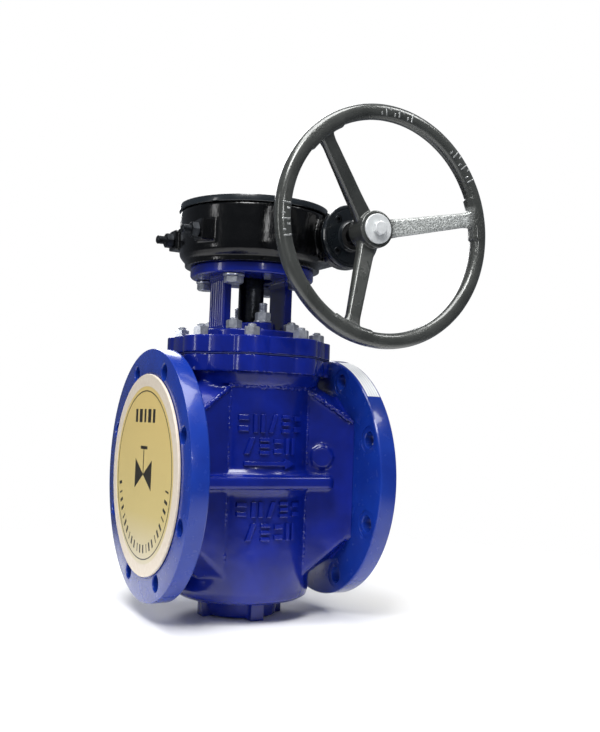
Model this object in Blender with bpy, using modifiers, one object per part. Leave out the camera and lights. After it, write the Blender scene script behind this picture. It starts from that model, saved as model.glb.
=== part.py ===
"""An eccentric plug valve, DN 200 PN 10, with a worm gearbox and a handwheel.

Metres, +Z up. The origin is where the stem axis meets the plane under the feet. The pipe runs along X,
with flow from -X to +X, and the handwheel faces -Y. The valve stands closed. The plug and all that turns
with it turn about +Z to open it, by 90 degrees, and the worm shaft turns about the worm axis.
"""

import math

import bmesh
import bpy
from mathutils import Matrix

GAP = 0.0003  # between pieces that touch
ROUND = 24  # sides of a shaft and its bore, where one turns in the other

# Body casting: the pipe flanges are those of DN 200 PN 10
PIPE_Z = 0.193
FACE_TO_FACE = 0.292
FLANGE_R = 0.170
FLANGE_THICK = 0.026
FLANGE_HOLE_R = 0.011
FLANGE_HOLES_AT_R = 0.1475
BORE_R = 0.100
BARREL_R = 0.095
BARREL_LOW = 0.026
CHAMBER_R = 0.082
CHAMBER_FLOOR = 0.077
BODY_TOP = 0.3575
TOP_FLANGE_THICK = 0.0245
RIB_Z = PIPE_Z - 0.004
FOOT_REACH = 0.060
FOOT_THICK = 0.017

# Plug and seat: the plug face is a cylinder a little off the stem axis, so it leaves the seat as it turns
PLUG_R = 0.064
PLUG_CENTRE = (0.0015, 0.0026)
PLUG_HALF = 0.110
PLUG_WAY_HALF = 0.0965
PLUG_FACE_X = 0.038
SEAT_OUTER = (0.056, 0.094)
SEAT_INNER = (0.044, 0.082)
SEAT_BACK = 0.084
TRUNNION_R = 0.020
UPPER_TRUNNION_R = 0.027
UPPER_TRUNNION_TOP = 0.340
STEM_R = 0.018
STEM_LOW = 0.322
STEM_TOP = 0.560

# Bonnet, gland and yoke
BONNET_LOW = 0.3592
BONNET_TOP = 0.383
STUDS_AT_R = 0.096
LOBE_CENTRE_R = 0.082
LOBE_R = 0.034
LOBE_BASE_R = 0.109
STUFFING_R = 0.0283
NECK_R = 0.033
YOKE_LOW_TOP = 0.3945
YOKE_LOW_R = 0.075
YOKE_STUD_AT = 0.044
YOKE_ARM_X = 0.0475
YOKE_ARM_THICK = 0.012
YOKE_ARM_WIDE = 0.052
YOKE_TOP_LOW = 0.4695
YOKE_TOP = 0.484
YOKE_TOP_R = 0.088
ACTUATOR_BOLT_AT = 0.0495
GLAND_STUD_AT = 0.042

# Gearbox: a worm of one start drives a wheel cut down to the sector it needs
GEARBOX_R = 0.105
GEARBOX_TOP = 0.562
GEARBOX_FLOOR = 0.500
COVER_TOP = 0.572
COVER_R = 0.107
MODULE = 0.004
WHEEL_TEETH = 38
WHEEL_R = MODULE * WHEEL_TEETH / 2
WORM_R = 0.021
LEAD = math.pi * MODULE
WORM_X = WHEEL_R + WORM_R
WORM_Z = 0.528
WORM_BORE_R = 0.0248
JOURNAL_R = 0.0125
COLLAR_R = 0.044
COLLAR_END = -0.1065
STOP_Y = 0.050
STOP_Z = 0.523
STOP_FACE = 0.040

# Handwheel: its rim stands further out than its hub
WHEEL_RIM_Y = -0.200
RIM_OUTER_R = 0.160
RIM_SECTION_R = 0.0105
HUB_R = 0.025
HUB_FACE = -0.181
HUB_BACK = -0.146
SPOKE_ANGLES = (11, 131, 251)

TURN = {
    "X": Matrix.Rotation(math.pi / 2, 4, "Y"),
    "Y": Matrix.Rotation(-math.pi / 2, 4, "X"),
    "Z": Matrix.Identity(4),
}


def clear_scene():
    for item in list(bpy.data.objects):
        bpy.data.objects.remove(item)


def collection(name):
    made = bpy.data.collections.new(name)
    bpy.context.scene.collection.children.link(made)
    return made


def finish(name, colour, roughness, metallic):
    made = bpy.data.materials.new(name)
    made.use_nodes = True
    shader = made.node_tree.nodes["Principled BSDF"]
    shader.inputs["Base Color"].default_value = (*colour, 1)
    shader.inputs["Roughness"].default_value = roughness
    shader.inputs["Metallic"].default_value = metallic
    return made


def add_object(name, mesh, look, shift=(0, 0, 0), axis="Z"):
    """A piece of the valve, or a hidden helper when it has no look."""
    item = bpy.data.objects.new(name, mesh)
    item.matrix_world = Matrix.Translation(shift) @ TURN[axis]
    if look is None:
        helpers.objects.link(item)
        item.hide_render = True
        item.display_type = "WIRE"
    else:
        valve.objects.link(item)
        mesh.materials.append(look)
    return item


def from_bmesh(name, form, look, smooth_below=30):
    bmesh.ops.recalc_face_normals(form, faces=form.faces)
    mesh = bpy.data.meshes.new(name)
    form.to_mesh(mesh)
    form.free()
    mesh.shade_smooth()
    mesh.set_sharp_from_angle(angle=math.radians(smooth_below))
    return add_object(name, mesh, look)


def turned(name, profile, look=None, shift=(0, 0, 0), axis="Z", steps=24):
    """A solid of (radius, height) points turned about its axis: down the outside, then up any bore."""
    mesh = bpy.data.meshes.new(name)
    count = len(profile)
    edges = [(i, i + 1) for i in range(count - 1)]
    if profile[0][0] > 0:
        edges.append((count - 1, 0))
    mesh.from_pydata([(radius, 0, height) for radius, height in profile], edges, [])
    item = add_object(name, mesh, look, shift, axis)
    screw = item.modifiers.new("turn", "SCREW")
    screw.steps = steps
    screw.render_steps = steps
    screw.use_merge_vertices = True
    screw.merge_threshold = 0.00001
    screw.use_smooth_shade = True
    return item


def ring(name, inner, outer, low, high, look, shift=(0, 0, 0), axis="Z", steps=ROUND):
    profile = [(outer, high), (outer, low), (inner, low), (inner, high)]
    return turned(name, profile, look, shift, axis, steps)


def running(radius):
    """The corner radius of a bore that a shaft of this radius turns in, clear at every angle."""
    return (radius + 0.0001) / math.cos(math.pi / ROUND)


def put(axis, along, across):
    """A point that lies along an axis, and across it at the other two coordinates in order."""
    point = list(across)
    point.insert("XYZ".index(axis), along)
    return point


def add_rod(form, radius, low, high, across=(0, 0), axis="Z", sides=8):
    place = Matrix.Translation(put(axis, (low + high) / 2, across)) @ TURN[axis]
    bmesh.ops.create_cone(
        form,
        cap_ends=True,
        segments=sides,
        radius1=radius,
        radius2=radius,
        depth=high - low,
        matrix=place,
    )


def rods(name, radius, low, high, spots, axis="Z", sides=8, look=None):
    form = bmesh.new()
    for spot in spots:
        add_rod(form, radius, low, high, spot, axis, sides)
    return from_bmesh(name, form, look)


def block(name, low, high, look=None):
    """A box between two corners."""
    form = bmesh.new()
    size = [b - a for a, b in zip(low, high)]
    middle = [(a + b) / 2 for a, b in zip(low, high)]
    place = Matrix.Translation(middle) @ Matrix.Diagonal((*size, 1))
    bmesh.ops.create_cube(form, size=1, matrix=place)
    return from_bmesh(name, form, look)


def loft(name, sections, look=None, smooth_below=30):
    """A solid through closed sections that have the same number of points."""
    form = bmesh.new()
    rows = [[form.verts.new(point) for point in section] for section in sections]
    count = len(rows[0])
    for row, after in zip(rows, rows[1:]):
        for i in range(count):
            j = (i + 1) % count
            form.faces.new((row[i], row[j], after[j], after[i]))
    form.faces.new(rows[0])
    form.faces.new(rows[-1])
    return from_bmesh(name, form, look, smooth_below)


def boolean(item, operation, *others):
    for other in others:
        step = item.modifiers.new(other.name, "BOOLEAN")
        step.operation = operation
        step.solver = "EXACT"
        step.object = other


def join(item, *others):
    boolean(item, "UNION", *others)


def cut(item, *others):
    boolean(item, "DIFFERENCE", *others)


def on_circle(radius, count, first_degrees, centre=(0, 0)):
    angles = [math.radians(first_degrees + 360 * i / count) for i in range(count)]
    return [(centre[0] + radius * math.cos(a), centre[1] + radius * math.sin(a)) for a in angles]


def lobed_outline(points=56):
    """The bonnet's outline: a circle with a round lobe at each of its eight studs."""
    outline = []
    for i in range(points):
        angle = 2 * math.pi * (i + 0.5) / points
        off = angle % (math.pi / 4) - math.pi / 8
        sideways = LOBE_CENTRE_R * math.sin(off)
        reach = LOBE_BASE_R
        if abs(sideways) < LOBE_R:
            lobe = LOBE_CENTRE_R * math.cos(off) + math.sqrt(LOBE_R**2 - sideways**2)
            reach = max(reach, lobe)
        outline.append((reach * math.cos(angle), reach * math.sin(angle)))
    return outline


def plate(name, outline, low, high, look=None):
    return loft(name, [[(x, y, z) for x, y in outline] for z in (low, high)], look)


def rounded(x, half_y, half_z, squareness, points=24):
    """A section across the pipe, from a circle or ellipse (2) to nearly a rectangle (5)."""
    section = []
    for i in range(points):
        angle = 2 * math.pi * i / points
        c, s = math.cos(angle), math.sin(angle)
        y = half_y * math.copysign(abs(c) ** (2 / squareness), c)
        z = half_z * math.copysign(abs(s) ** (2 / squareness), s)
        section.append((x, y, PIPE_Z + z))
    return section


def eight_sided(x, wide, side_up, side_down, flat, up, down):
    """A section of the body between barrel and flange: upright sides, with sloped shoulders."""
    half = [(wide, -side_down), (wide, side_up), (flat, up)]
    outline = half + [(-y, z) for y, z in reversed(half)] + [(-flat, -down), (flat, -down)]
    return [(x, y, PIPE_Z + z) for y, z in outline]


def make_body():
    """One iron casting: the barrel, the two pipe flanges, the lobed top flange, the rib and the feet."""
    profile = [(0, BODY_TOP - 0.005), (BARREL_R, BODY_TOP - 0.005), (BARREL_R, BARREL_LOW + 0.016)]
    profile += [(BARREL_R - 0.0035, BARREL_LOW + 0.006), (BARREL_R - 0.012, BARREL_LOW), (0, BARREL_LOW)]
    body = turned("body_casting", profile, blue_paint, steps=36)
    at_barrel = (0.075, 0.121, 0.133, 0.050, 0.143, 0.148)
    at_flange = (0.098, 0.075, 0.075, 0.045, 0.112, 0.112)
    reach = FACE_TO_FACE / 2
    back = reach - FLANGE_THICK
    places = ((-back - 0.002, at_flange), (-0.055, at_barrel), (0.055, at_barrel), (back + 0.002, at_flange))
    join(body, loft("wings", [eight_sided(x, *sizes) for x, sizes in places]))
    top_low = BODY_TOP - TOP_FLANGE_THICK
    join(body, plate("top_flange", lobed_outline(), top_low, BODY_TOP))
    rib_end = 0.088
    rib_y = 0.112
    turned_corner = [(rib_end - 0.012 + x, rib_y - 0.012 + y) for x, y in on_circle(0.012, 12, 0)[:4]]
    rib_outline = [(-back - 0.005, -rib_y), *[(x, -y) for x, y in reversed(turned_corner)]]
    rib_outline += [*turned_corner, (-back - 0.005, rib_y)]
    join(body, plate("rib", rib_outline, RIB_Z - 0.0075, RIB_Z + 0.0075))
    for axis in (0, 1):
        low = [-FOOT_THICK / 2] * 2 + [0]
        high = [FOOT_THICK / 2] * 2 + [BARREL_LOW + 0.01]
        low[axis] = -FOOT_REACH
        high[axis] = FOOT_REACH
        join(body, block(f"foot_{axis}", low, high))
    join(body, rods("foot_boss", 0.052, 0.002, BARREL_LOW + 0.01, [(0, 0)], sides=24))
    boss = rods("wing_boss", 0.015, -0.0035, 0.020, [(0, 0)], "Y", 16)
    lean = math.atan((0.098 - 0.075) / (back + 0.002 - 0.055))
    boss.matrix_world = Matrix.Translation((0.078, -0.0829, PIPE_Z + 0.030)) @ Matrix.Rotation(-lean, 4, "Z")
    join(body, boss)
    for name, low, high in (("inlet", -reach, -back), ("outlet", back, reach)):
        join(body, rods(f"{name}_flange", FLANGE_R, low, high, [(0, PIPE_Z)], "X", 48))
    profile = [(0, 0.4), (CHAMBER_R, 0.4), (CHAMBER_R, CHAMBER_FLOOR), (0, CHAMBER_FLOOR)]
    cut(body, turned("chamber", profile, steps=32))
    cut(body, rods("bush_pocket", 0.0263, 0.045, CHAMBER_FLOOR + 0.01, [(0, 0)], sides=ROUND))
    mouth = (reach + 0.002, BORE_R, BORE_R, 2)
    neck = (back, 0.088, 0.096, 2.4)
    inlet = (mouth, neck, (0.070, 0.062, 0.090, 4), (0.030, 0.062, 0.090, 4))
    cut(body, loft("inlet_way", [rounded(-x, *sizes) for x, *sizes in inlet]))
    outlet = ((SEAT_BACK - 0.010, 0.050, 0.088, 5), (SEAT_BACK + 0.004, 0.050, 0.088, 5), neck, mouth)
    cut(body, loft("outlet_way", [rounded(x, *sizes) for x, *sizes in outlet]))
    wide, tall = SEAT_OUTER[0] + GAP, SEAT_OUTER[1] + GAP
    pocket_back = SEAT_BACK + GAP
    cut(body, block("seat_pocket", (0.035, -wide, PIPE_Z - tall), (pocket_back, wide, PIPE_Z + tall)))
    spots = on_circle(FLANGE_HOLES_AT_R, 8, 22.5, (0, PIPE_Z))
    for name, low, high in (("inlet", -reach - 0.01, -back + 0.01), ("outlet", back - 0.01, reach + 0.01)):
        cut(body, rods(f"{name}_holes", FLANGE_HOLE_R, low, high, spots, "X", 10))
    spots = on_circle(STUDS_AT_R, 8, 22.5)
    cut(body, rods("body_stud_holes", 0.006 + GAP, BODY_TOP - 0.022, BODY_TOP + 0.01, spots))


def make_plug():
    """The plug: a thick face on two arms that turn on trunnions, above and below the way through."""
    low, high = PIPE_Z - PLUG_HALF, PIPE_Z + PLUG_HALF
    profile = [(0, high), (PLUG_R, high), (PLUG_R, low), (0, low)]
    plug = turned("plug", profile, bare_iron, (*PLUG_CENTRE, 0), steps=40)
    way_low, way_high = PIPE_Z - PLUG_WAY_HALF, PIPE_Z + PLUG_WAY_HALF
    cut(plug, block("plug_way", (-0.1, -0.1, way_low), (PLUG_FACE_X, 0.1, way_high)))
    cut(plug, block("plug_back", (-0.1, -0.1, 0), (-0.032, 0.1, 0.5)))
    lower_end = 0.045 + GAP
    join(plug, rods("lower_trunnion", TRUNNION_R, lower_end, low + 0.005, [(0, 0)], sides=ROUND))
    upper_low = high - 0.005
    join(plug, rods("upper_trunnion", UPPER_TRUNNION_R, upper_low, UPPER_TRUNNION_TOP, [(0, 0)], sides=ROUND))
    cut(plug, rods("stem_socket", STEM_R + GAP, STEM_LOW - GAP, 0.36, [(0, 0)], sides=ROUND))
    cut(plug, block("plug_keyway", (-0.0218, -0.0043, STEM_LOW - GAP), (-0.010, 0.0043, 0.36)))
    key_low = STEM_LOW + 0.0005
    block("plug_key", (-0.0215, -0.004, key_low), (-0.0145, 0.004, UPPER_TRUNNION_TOP - 0.001), steel)


def make_seat_and_bushes():
    """The seat that the plug closes on, and the plain bearings that the trunnions turn in."""
    wide, tall = SEAT_OUTER
    seat = block("seat_ring", (0.036, -wide, PIPE_Z - tall), (SEAT_BACK, wide, PIPE_Z + tall), bronze)
    wide, tall = SEAT_INNER
    cut(seat, block("seat_window", (0.0, -wide, PIPE_Z - tall), (0.1, wide, PIPE_Z + tall)))
    cut(seat, rods("seat_sweep", PLUG_R + 0.0004, 0.05, 0.35, [PLUG_CENTRE], sides=48))
    low = 0.045 + GAP
    ring("lower_bush", running(TRUNNION_R), 0.026, low, CHAMBER_FLOOR - GAP, bronze)
    washer_top = PIPE_Z - PLUG_HALF - GAP
    ring("thrust_washer", running(TRUNNION_R), 0.034, CHAMBER_FLOOR + GAP, washer_top, bronze)
    ring("upper_bush", running(UPPER_TRUNNION_R), 0.033, 0.3075, 0.3405, bronze)


def make_bonnet():
    """The bonnet with its spigot, bush housing and stuffing box, and the gasket under it."""
    bonnet = plate("bonnet", lobed_outline(), BONNET_LOW, BONNET_TOP, blue_paint)
    profile = [(0, BONNET_LOW + 0.005), (0.0795, BONNET_LOW + 0.005), (0.0795, 0.347), (0.045, 0.347)]
    profile += [(0.045, 0.3065), (0, 0.3065)]
    join(bonnet, turned("spigot", profile, steps=32))
    join(bonnet, rods("neck", NECK_R, BONNET_TOP - 0.005, YOKE_LOW_TOP - GAP, [(0, 0)], sides=32))
    cut(bonnet, rods("bush_bore", 0.033 + GAP, 0.30, 0.3415, [(0, 0)], sides=ROUND))
    cut(bonnet, rods("stem_bore", running(STEM_R), 0.33, 0.37, [(0, 0)], sides=ROUND))
    cut(bonnet, rods("stuffing_box", STUFFING_R, 0.3600, 0.41, [(0, 0)], sides=ROUND))
    spots = on_circle(STUDS_AT_R, 8, 22.5)
    cut(bonnet, rods("bonnet_holes", 0.006 + GAP, BONNET_LOW - 0.01, BONNET_TOP + 0.01, spots))
    cut(bonnet, rods("yoke_stud_holes", 0.006 + GAP, 0.366, 0.40, corners(YOKE_STUD_AT)))
    gasket = plate("bonnet_gasket", lobed_outline(), BODY_TOP + GAP, BONNET_LOW - GAP, gasket_grey)
    cut(gasket, rods("gasket_bore", CHAMBER_R, BODY_TOP - 0.01, BONNET_LOW + 0.01, [(0, 0)], sides=32))
    cut(gasket, rods("gasket_holes", 0.006 + GAP, BODY_TOP - 0.01, BONNET_LOW + 0.01, spots))


def corners(half):
    return [(-half, -half), (half, -half), (half, half), (-half, half)]


def stud_with_nut(name, spot, low, seat, top, radius=0.006, flats=0.019, tall=0.012, washer=0.0):
    """A stud and the nut run down on it, over a washer where it has one, which hold as one piece."""
    form = bmesh.new()
    nut_low = seat + GAP + (0.0025 if washer else 0)
    add_rod(form, flats / math.sqrt(3), nut_low, nut_low + tall, spot, sides=6)
    item = from_bmesh(name, form, zinc_steel)
    shank = [(0, top), (radius - 0.0015, top), (radius, top - 0.0015), (radius, low), (0, low)]
    join(item, turned(f"{name}_shank", shank, None, (*spot, 0), steps=8))
    if washer:
        join(item, rods(f"{name}_washer", washer, seat + GAP, nut_low + 0.0005, [spot], sides=12))


def make_studs():
    for i, spot in enumerate(on_circle(STUDS_AT_R, 8, 22.5)):
        stud_with_nut(f"bonnet_stud_{i + 1}", spot, BODY_TOP - 0.0215, BONNET_TOP, BONNET_TOP + 0.016)
    for i, spot in enumerate(corners(YOKE_STUD_AT)):
        stud_with_nut(f"yoke_stud_{i + 1}", spot, 0.3665, YOKE_LOW_TOP, YOKE_LOW_TOP + 0.0155)
    for i, y in enumerate((-GLAND_STUD_AT, GLAND_STUD_AT)):
        name = f"gland_stud_{i + 1}"
        stud_with_nut(name, (0, y), BONNET_TOP + 0.001, 0.406, 0.434, washer=0.0125)
    for i, spot in enumerate(corners(ACTUATOR_BOLT_AT)):
        form = bmesh.new()
        head_top = YOKE_TOP_LOW - GAP - 0.003
        add_rod(form, 0.024 / math.sqrt(3), head_top - 0.010, head_top, spot, sides=6)
        item = from_bmesh(f"actuator_bolt_{i + 1}", form, zinc_steel)
        shank = [(0, 0.496), (0.008, 0.496), (0.008, head_top - 0.001), (0, head_top - 0.001)]
        join(item, turned(f"actuator_shank_{i + 1}", shank, None, (*spot, 0), steps=12))
        name = f"actuator_washer_{i + 1}"
        join(item, rods(name, 0.015, head_top - 0.0005, head_top + 0.003, [spot], sides=12))


def make_gland():
    """The packing rings and the oval gland that presses on them."""
    ring("packing", running(STEM_R), STUFFING_R - GAP, 0.3603, 0.388, packing_grey)
    outline = []
    for i in range(32):
        angle = 2 * math.pi * i / 32
        swell = 1 + 0.10 * math.cos(2 * angle) ** 2
        outline.append((0.0315 * swell * math.cos(angle), 0.051 * swell * math.sin(angle)))
    gland = plate("gland", outline, 0.3950, 0.406, blue_paint)
    join(gland, rods("gland_spigot", STUFFING_R - GAP, 0.3885, 0.396, [(0, 0)], sides=ROUND))
    cut(gland, rods("gland_bore", running(STEM_R), 0.38, 0.41, [(0, 0)], sides=ROUND))
    cut(gland, rods("gland_holes", 0.006 + GAP, 0.38, 0.41, [(0, -GLAND_STUD_AT), (0, GLAND_STUD_AT)]))


def make_yoke():
    """The pillar casting between bonnet and gearbox: two flanges on two ribbed arms."""
    profile = [(YOKE_LOW_R, YOKE_LOW_TOP), (YOKE_LOW_R, BONNET_TOP + GAP)]
    profile += [(NECK_R + GAP, BONNET_TOP + GAP), (NECK_R + GAP, YOKE_LOW_TOP)]
    yoke = turned("yoke", profile, blue_paint, steps=34)
    profile = [(YOKE_TOP_R, YOKE_TOP), (YOKE_TOP_R, YOKE_TOP_LOW + 0.002)]
    profile += [(YOKE_TOP_R - 0.002, YOKE_TOP_LOW), (0.030, YOKE_TOP_LOW), (0.030, YOKE_TOP)]
    join(yoke, turned("yoke_top", profile, steps=34))
    low, high = YOKE_LOW_TOP - 0.004, YOKE_TOP_LOW + 0.004
    for side in (-1, 1):
        inner, outer = YOKE_ARM_X - YOKE_ARM_THICK / 2, YOKE_ARM_X + YOKE_ARM_THICK / 2
        half, groove = YOKE_ARM_WIDE / 2, outer - 0.003
        ribbed = [(inner, -half), (groove, -half), (groove, -0.0125), (outer, -0.0125), (outer, -0.0035)]
        ribbed += [(groove, -0.0035), (groove, 0.0035), (outer, 0.0035), (outer, 0.0125), (groove, 0.0125)]
        ribbed += [(groove, half), (inner, half)]
        join(yoke, plate(f"arm_{side}", [(side * x, y) for x, y in ribbed], low, high))
    cut(yoke, rods("yoke_low_holes", 0.006 + GAP, 0.37, 0.40, corners(YOKE_STUD_AT)))
    cut(yoke, rods("gland_stud_holes", 0.006 + GAP, 0.37, 0.40, [(0, -GLAND_STUD_AT), (0, GLAND_STUD_AT)]))
    cut(yoke, rods("yoke_top_holes", 0.008 + GAP, 0.46, 0.49, corners(ACTUATOR_BOLT_AT), sides=12))


def make_stem():
    """The stem between plug and worm wheel, with its upper key."""
    profile = [(0, STEM_TOP), (STEM_R - 0.002, STEM_TOP), (STEM_R, STEM_TOP - 0.002), (STEM_R, STEM_LOW)]
    stem = turned("stem", [*profile, (0, STEM_LOW)], dark_steel, steps=ROUND)
    cut(stem, block("stem_low_slot", (-0.03, -0.0043, 0.30), (-0.0142, 0.0043, UPPER_TRUNNION_TOP)))
    cut(stem, block("stem_high_slot", (-0.03, -0.0053, 0.5087), (-0.0137, 0.0053, 0.5503)))
    block("stem_key", (-0.022, -0.005, 0.509), (-0.014, 0.005, 0.550), steel)


def toothed_ring(z, turn):
    """The worm wheel's edge at one height, with a gap between teeth at the turn given."""
    outline = []
    for i in range(WHEEL_TEETH):
        middle = 2 * math.pi * (i + 0.5) / WHEEL_TEETH + turn
        for radius, half in ((0.0715, -0.0032), (0.0795, -0.0012), (0.0795, 0.0012), (0.0715, 0.0032)):
            angle = middle + half / radius
            outline.append((radius * math.cos(angle), radius * math.sin(angle), z))
    return outline


def make_worm_wheel():
    """A bronze wheel, cut down to the part that meets the worm. Its two flats meet the stop screws."""
    half_wide = 0.012
    slope = LEAD / (2 * math.pi * WORM_R)
    lean = half_wide * slope / WHEEL_R
    low, high = WORM_Z - half_wide, WORM_Z + half_wide
    wheel = loft("worm_wheel", [toothed_ring(low, -lean), toothed_ring(high, lean)], bronze, 20)
    cut(wheel, block("closed_flat", (-0.1, -0.1, 0.4), (-STOP_FACE, 0.1, 0.6)))
    cut(wheel, block("open_flat", (-0.1, STOP_FACE, 0.4), (0.1, 0.1, 0.6)))
    join(wheel, rods("wheel_hub", 0.034, 0.5045, 0.5585, [(0, 0)], sides=24))
    cut(wheel, rods("wheel_bore", STEM_R + GAP, 0.49, 0.57, [(0, 0)], sides=ROUND))
    cut(wheel, block("wheel_keyway", (-0.0223, -0.0053, 0.49), (-0.010, 0.0053, 0.57)))


def make_gearbox():
    """The gearbox casting, its cover, and the indicator that turns with the stem."""
    profile = [(0, GEARBOX_TOP), (GEARBOX_R, GEARBOX_TOP), (GEARBOX_R, 0.507), (0.1035, 0.4995)]
    profile += [(0.099, 0.494), (0.096, 0.492), (0.096, YOKE_TOP + GAP), (0, YOKE_TOP + GAP)]
    box = turned("gearbox_housing", profile, black_paint, steps=36)
    tube_r = GEARBOX_TOP - WORM_Z - 0.0005
    axis = (WORM_X, WORM_Z)
    join(box, rods("worm_tube", tube_r, -0.100, 0.080, [axis], "Y", 24))
    block_low = (0.020, -0.078, WORM_Z - tube_r + 0.001)
    join(box, block("worm_shoulder", block_low, (WORM_X, 0.072, WORM_Z + tube_r - 0.001)))
    join(box, rods("front_collar", COLLAR_R, COLLAR_END, -0.089, [axis], "Y", 28))
    join(box, rods("rear_collar", 0.038, 0.074, 0.088, [axis], "Y", 24))
    stops = [(-STOP_Y, STOP_Z), (STOP_Y, STOP_Z)]
    join(box, rods("stop_bosses", 0.015, -0.1045, -0.080, stops, "X", 14))
    cut(box, rods("gear_space", 0.090, GEARBOX_FLOOR, 0.60, [(0, 0)], sides=32))
    cut(box, rods("worm_space", WORM_BORE_R, -0.12, 0.10, [axis], "Y", 24))
    cut(box, rods("stem_space", STEM_R + 0.001, 0.47, 0.51, [(0, 0)], sides=ROUND))
    cut(box, rods("stop_holes", 0.006 + GAP, -0.12, -0.06, stops, "X", 8))
    cut(box, rods("mount_holes", 0.008 + GAP, 0.47, 0.4965, corners(ACTUATOR_BOLT_AT), sides=12))
    cover_spots = on_circle(0.0975, 4, 45)
    cut(box, rods("cover_taps", 0.003 + GAP, 0.552, 0.57, cover_spots, sides=8))
    cap_spots = on_circle(0.031, 4, 45, axis)
    cut(box, rods("cap_taps", 0.0025 + GAP, -0.12, -0.094, cap_spots, "Y", 8))

    low = GEARBOX_TOP + GAP
    profile = [(COVER_R - 0.0015, COVER_TOP), (COVER_R, COVER_TOP - 0.0015), (COVER_R, low)]
    profile += [(0.0085, low), (0.0085, COVER_TOP)]
    cover = turned("gearbox_cover", profile, black_paint, steps=36)
    cut(cover, rods("cover_holes", 0.003 + GAP, 0.55, 0.58, cover_spots, sides=8))
    cut(cover, rods("cover_sinks", 0.0058, 0.566, 0.58, cover_spots, sides=12))
    for i, spot in enumerate(cover_spots):
        profile = [(0, 0.5717), (0.0055, 0.5717), (0.0055, 0.566 + GAP), (0.003, 0.566 + GAP)]
        profile += [(0.003, 0.5525), (0, 0.5525)]
        turned(f"cover_screw_{i + 1}", profile, black_steel, (*spot, 0), steps=8)

    dial_low, tenon_low = COVER_TOP + 0.0005, STEM_TOP + 0.0025
    profile = [(0, 0.5795), (0.027, 0.5795), (0.030, 0.5770), (0.030, dial_low), (0.008, dial_low)]
    dial = turned("position_indicator", [*profile, (0.008, tenon_low), (0, tenon_low)], black_steel)
    join(dial, block("pointer", (0.010, -0.004, 0.5740), (0.042, 0.004, 0.5785)))


def make_worm():
    """The worm, cut on its shaft, with its bearings, seal, caps and screws."""
    start = (WORM_X, 0, WORM_Z)
    profile = [(0, 0.0855), (JOURNAL_R, 0.0855), (JOURNAL_R, 0.0695), (0.016, 0.0695), (0.016, -0.0885)]
    profile += [(JOURNAL_R, -0.0885), (JOURNAL_R, -0.1785), (0.0053, -0.1785), (0.0053, -0.158), (0, -0.158)]
    shaft = turned("worm_shaft", profile, dark_steel, start, "Y", ROUND)
    turns, steps = 3.4, 12
    sections = []
    for i in range(int(turns * steps) + 1):
        angle = 2 * math.pi * (i / steps - turns / 2)
        middle = LEAD * angle / (2 * math.pi)
        beta = angle - math.pi / 2
        section = []
        for radius, half in ((0.0152, -0.0034), (0.024, -0.0016), (0.024, 0.0016), (0.0152, 0.0034)):
            x = WORM_X + radius * math.sin(beta)
            section.append((x, middle + half, WORM_Z + radius * math.cos(beta)))
        sections.append(section)
    join(shaft, loft("worm_thread", sections))
    slot_low = (WORM_X - 0.0033, -0.1773, WORM_Z + 0.0092)
    cut(shaft, block("shaft_keyway", slot_low, (WORM_X + 0.0033, -0.1497, 0.56)))
    key_low = (WORM_X - 0.003, -0.177, WORM_Z + 0.0095)
    block("handwheel_key", key_low, (WORM_X + 0.003, -0.150, WORM_Z + 0.0155), steel)

    bore = running(JOURNAL_R)
    ring("front_bearing", bore, WORM_BORE_R - GAP, -0.105, -0.0888, steel, start, "Y")
    ring("rear_bearing", bore, WORM_BORE_R - GAP, 0.0698, 0.086, steel, start, "Y")
    front, face, boss = COLLAR_END - GAP, -0.115, -0.120
    profile = [(COLLAR_R, front), (COLLAR_R, face + 0.0015), (COLLAR_R - 0.0015, face), (0.020, face)]
    profile += [(0.020, boss), (0.0185, boss), (0.0185, -0.1095), (bore, -0.1095), (bore, front)]
    cap = turned("worm_front_cap", profile, black_paint, start, "Y", 28)
    cap_spots = on_circle(0.031, 4, 45, (WORM_X, WORM_Z))
    cut(cap, rods("cap_holes", 0.0025 + GAP, -0.13, -0.10, cap_spots, "Y", 8))
    cut(cap, rods("cap_sinks", 0.0053, -0.13, -0.1105, cap_spots, "Y", 12))
    ring("shaft_seal", bore, 0.0182, -0.1195, -0.1098, rubber, start, "Y")
    profile = [(0, 0.0955), (0.034, 0.0955), (0.038, 0.0930), (0.038, 0.0883), (0, 0.0883)]
    turned("worm_rear_cap", profile, black_paint, start, "Y", 28)
    for i, (x, z) in enumerate(cap_spots):
        profile = [(0, -0.0945), (0.0025, -0.0945), (0.0025, -0.1108), (0.005, -0.1108), (0.005, -0.1152)]
        profile += [(0.0025, -0.1152), (0.0025, -0.1125), (0, -0.1125)]
        turned(f"cap_screw_{i + 1}", profile, black_steel, (x, 0, z), "Y", 8)


def make_stops():
    """Two adjusting screws with lock nuts. They stop the wheel where the valve is shut or fully open."""
    for i, y in enumerate((-STOP_Y, STOP_Y)):
        profile = [(0, -STOP_FACE - GAP), (0.0045, -STOP_FACE - GAP), (0.006, -STOP_FACE - 0.002)]
        profile += [(0.006, -0.1265), (0.0045, -0.128), (0, -0.128)]
        turned(f"stop_screw_{i + 1}", profile, black_steel, (0, y, STOP_Z), "X", 8)
        form = bmesh.new()
        add_rod(form, 0.019 / math.sqrt(3), -0.1150, -0.1048, (y, STOP_Z), "X", 6)
        nut = from_bmesh(f"stop_nut_{i + 1}", form, black_steel)
        cut(nut, rods(f"stop_nut_bore_{i + 1}", 0.006 + GAP, -0.13, -0.09, [(y, STOP_Z)], "X", 8))


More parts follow.
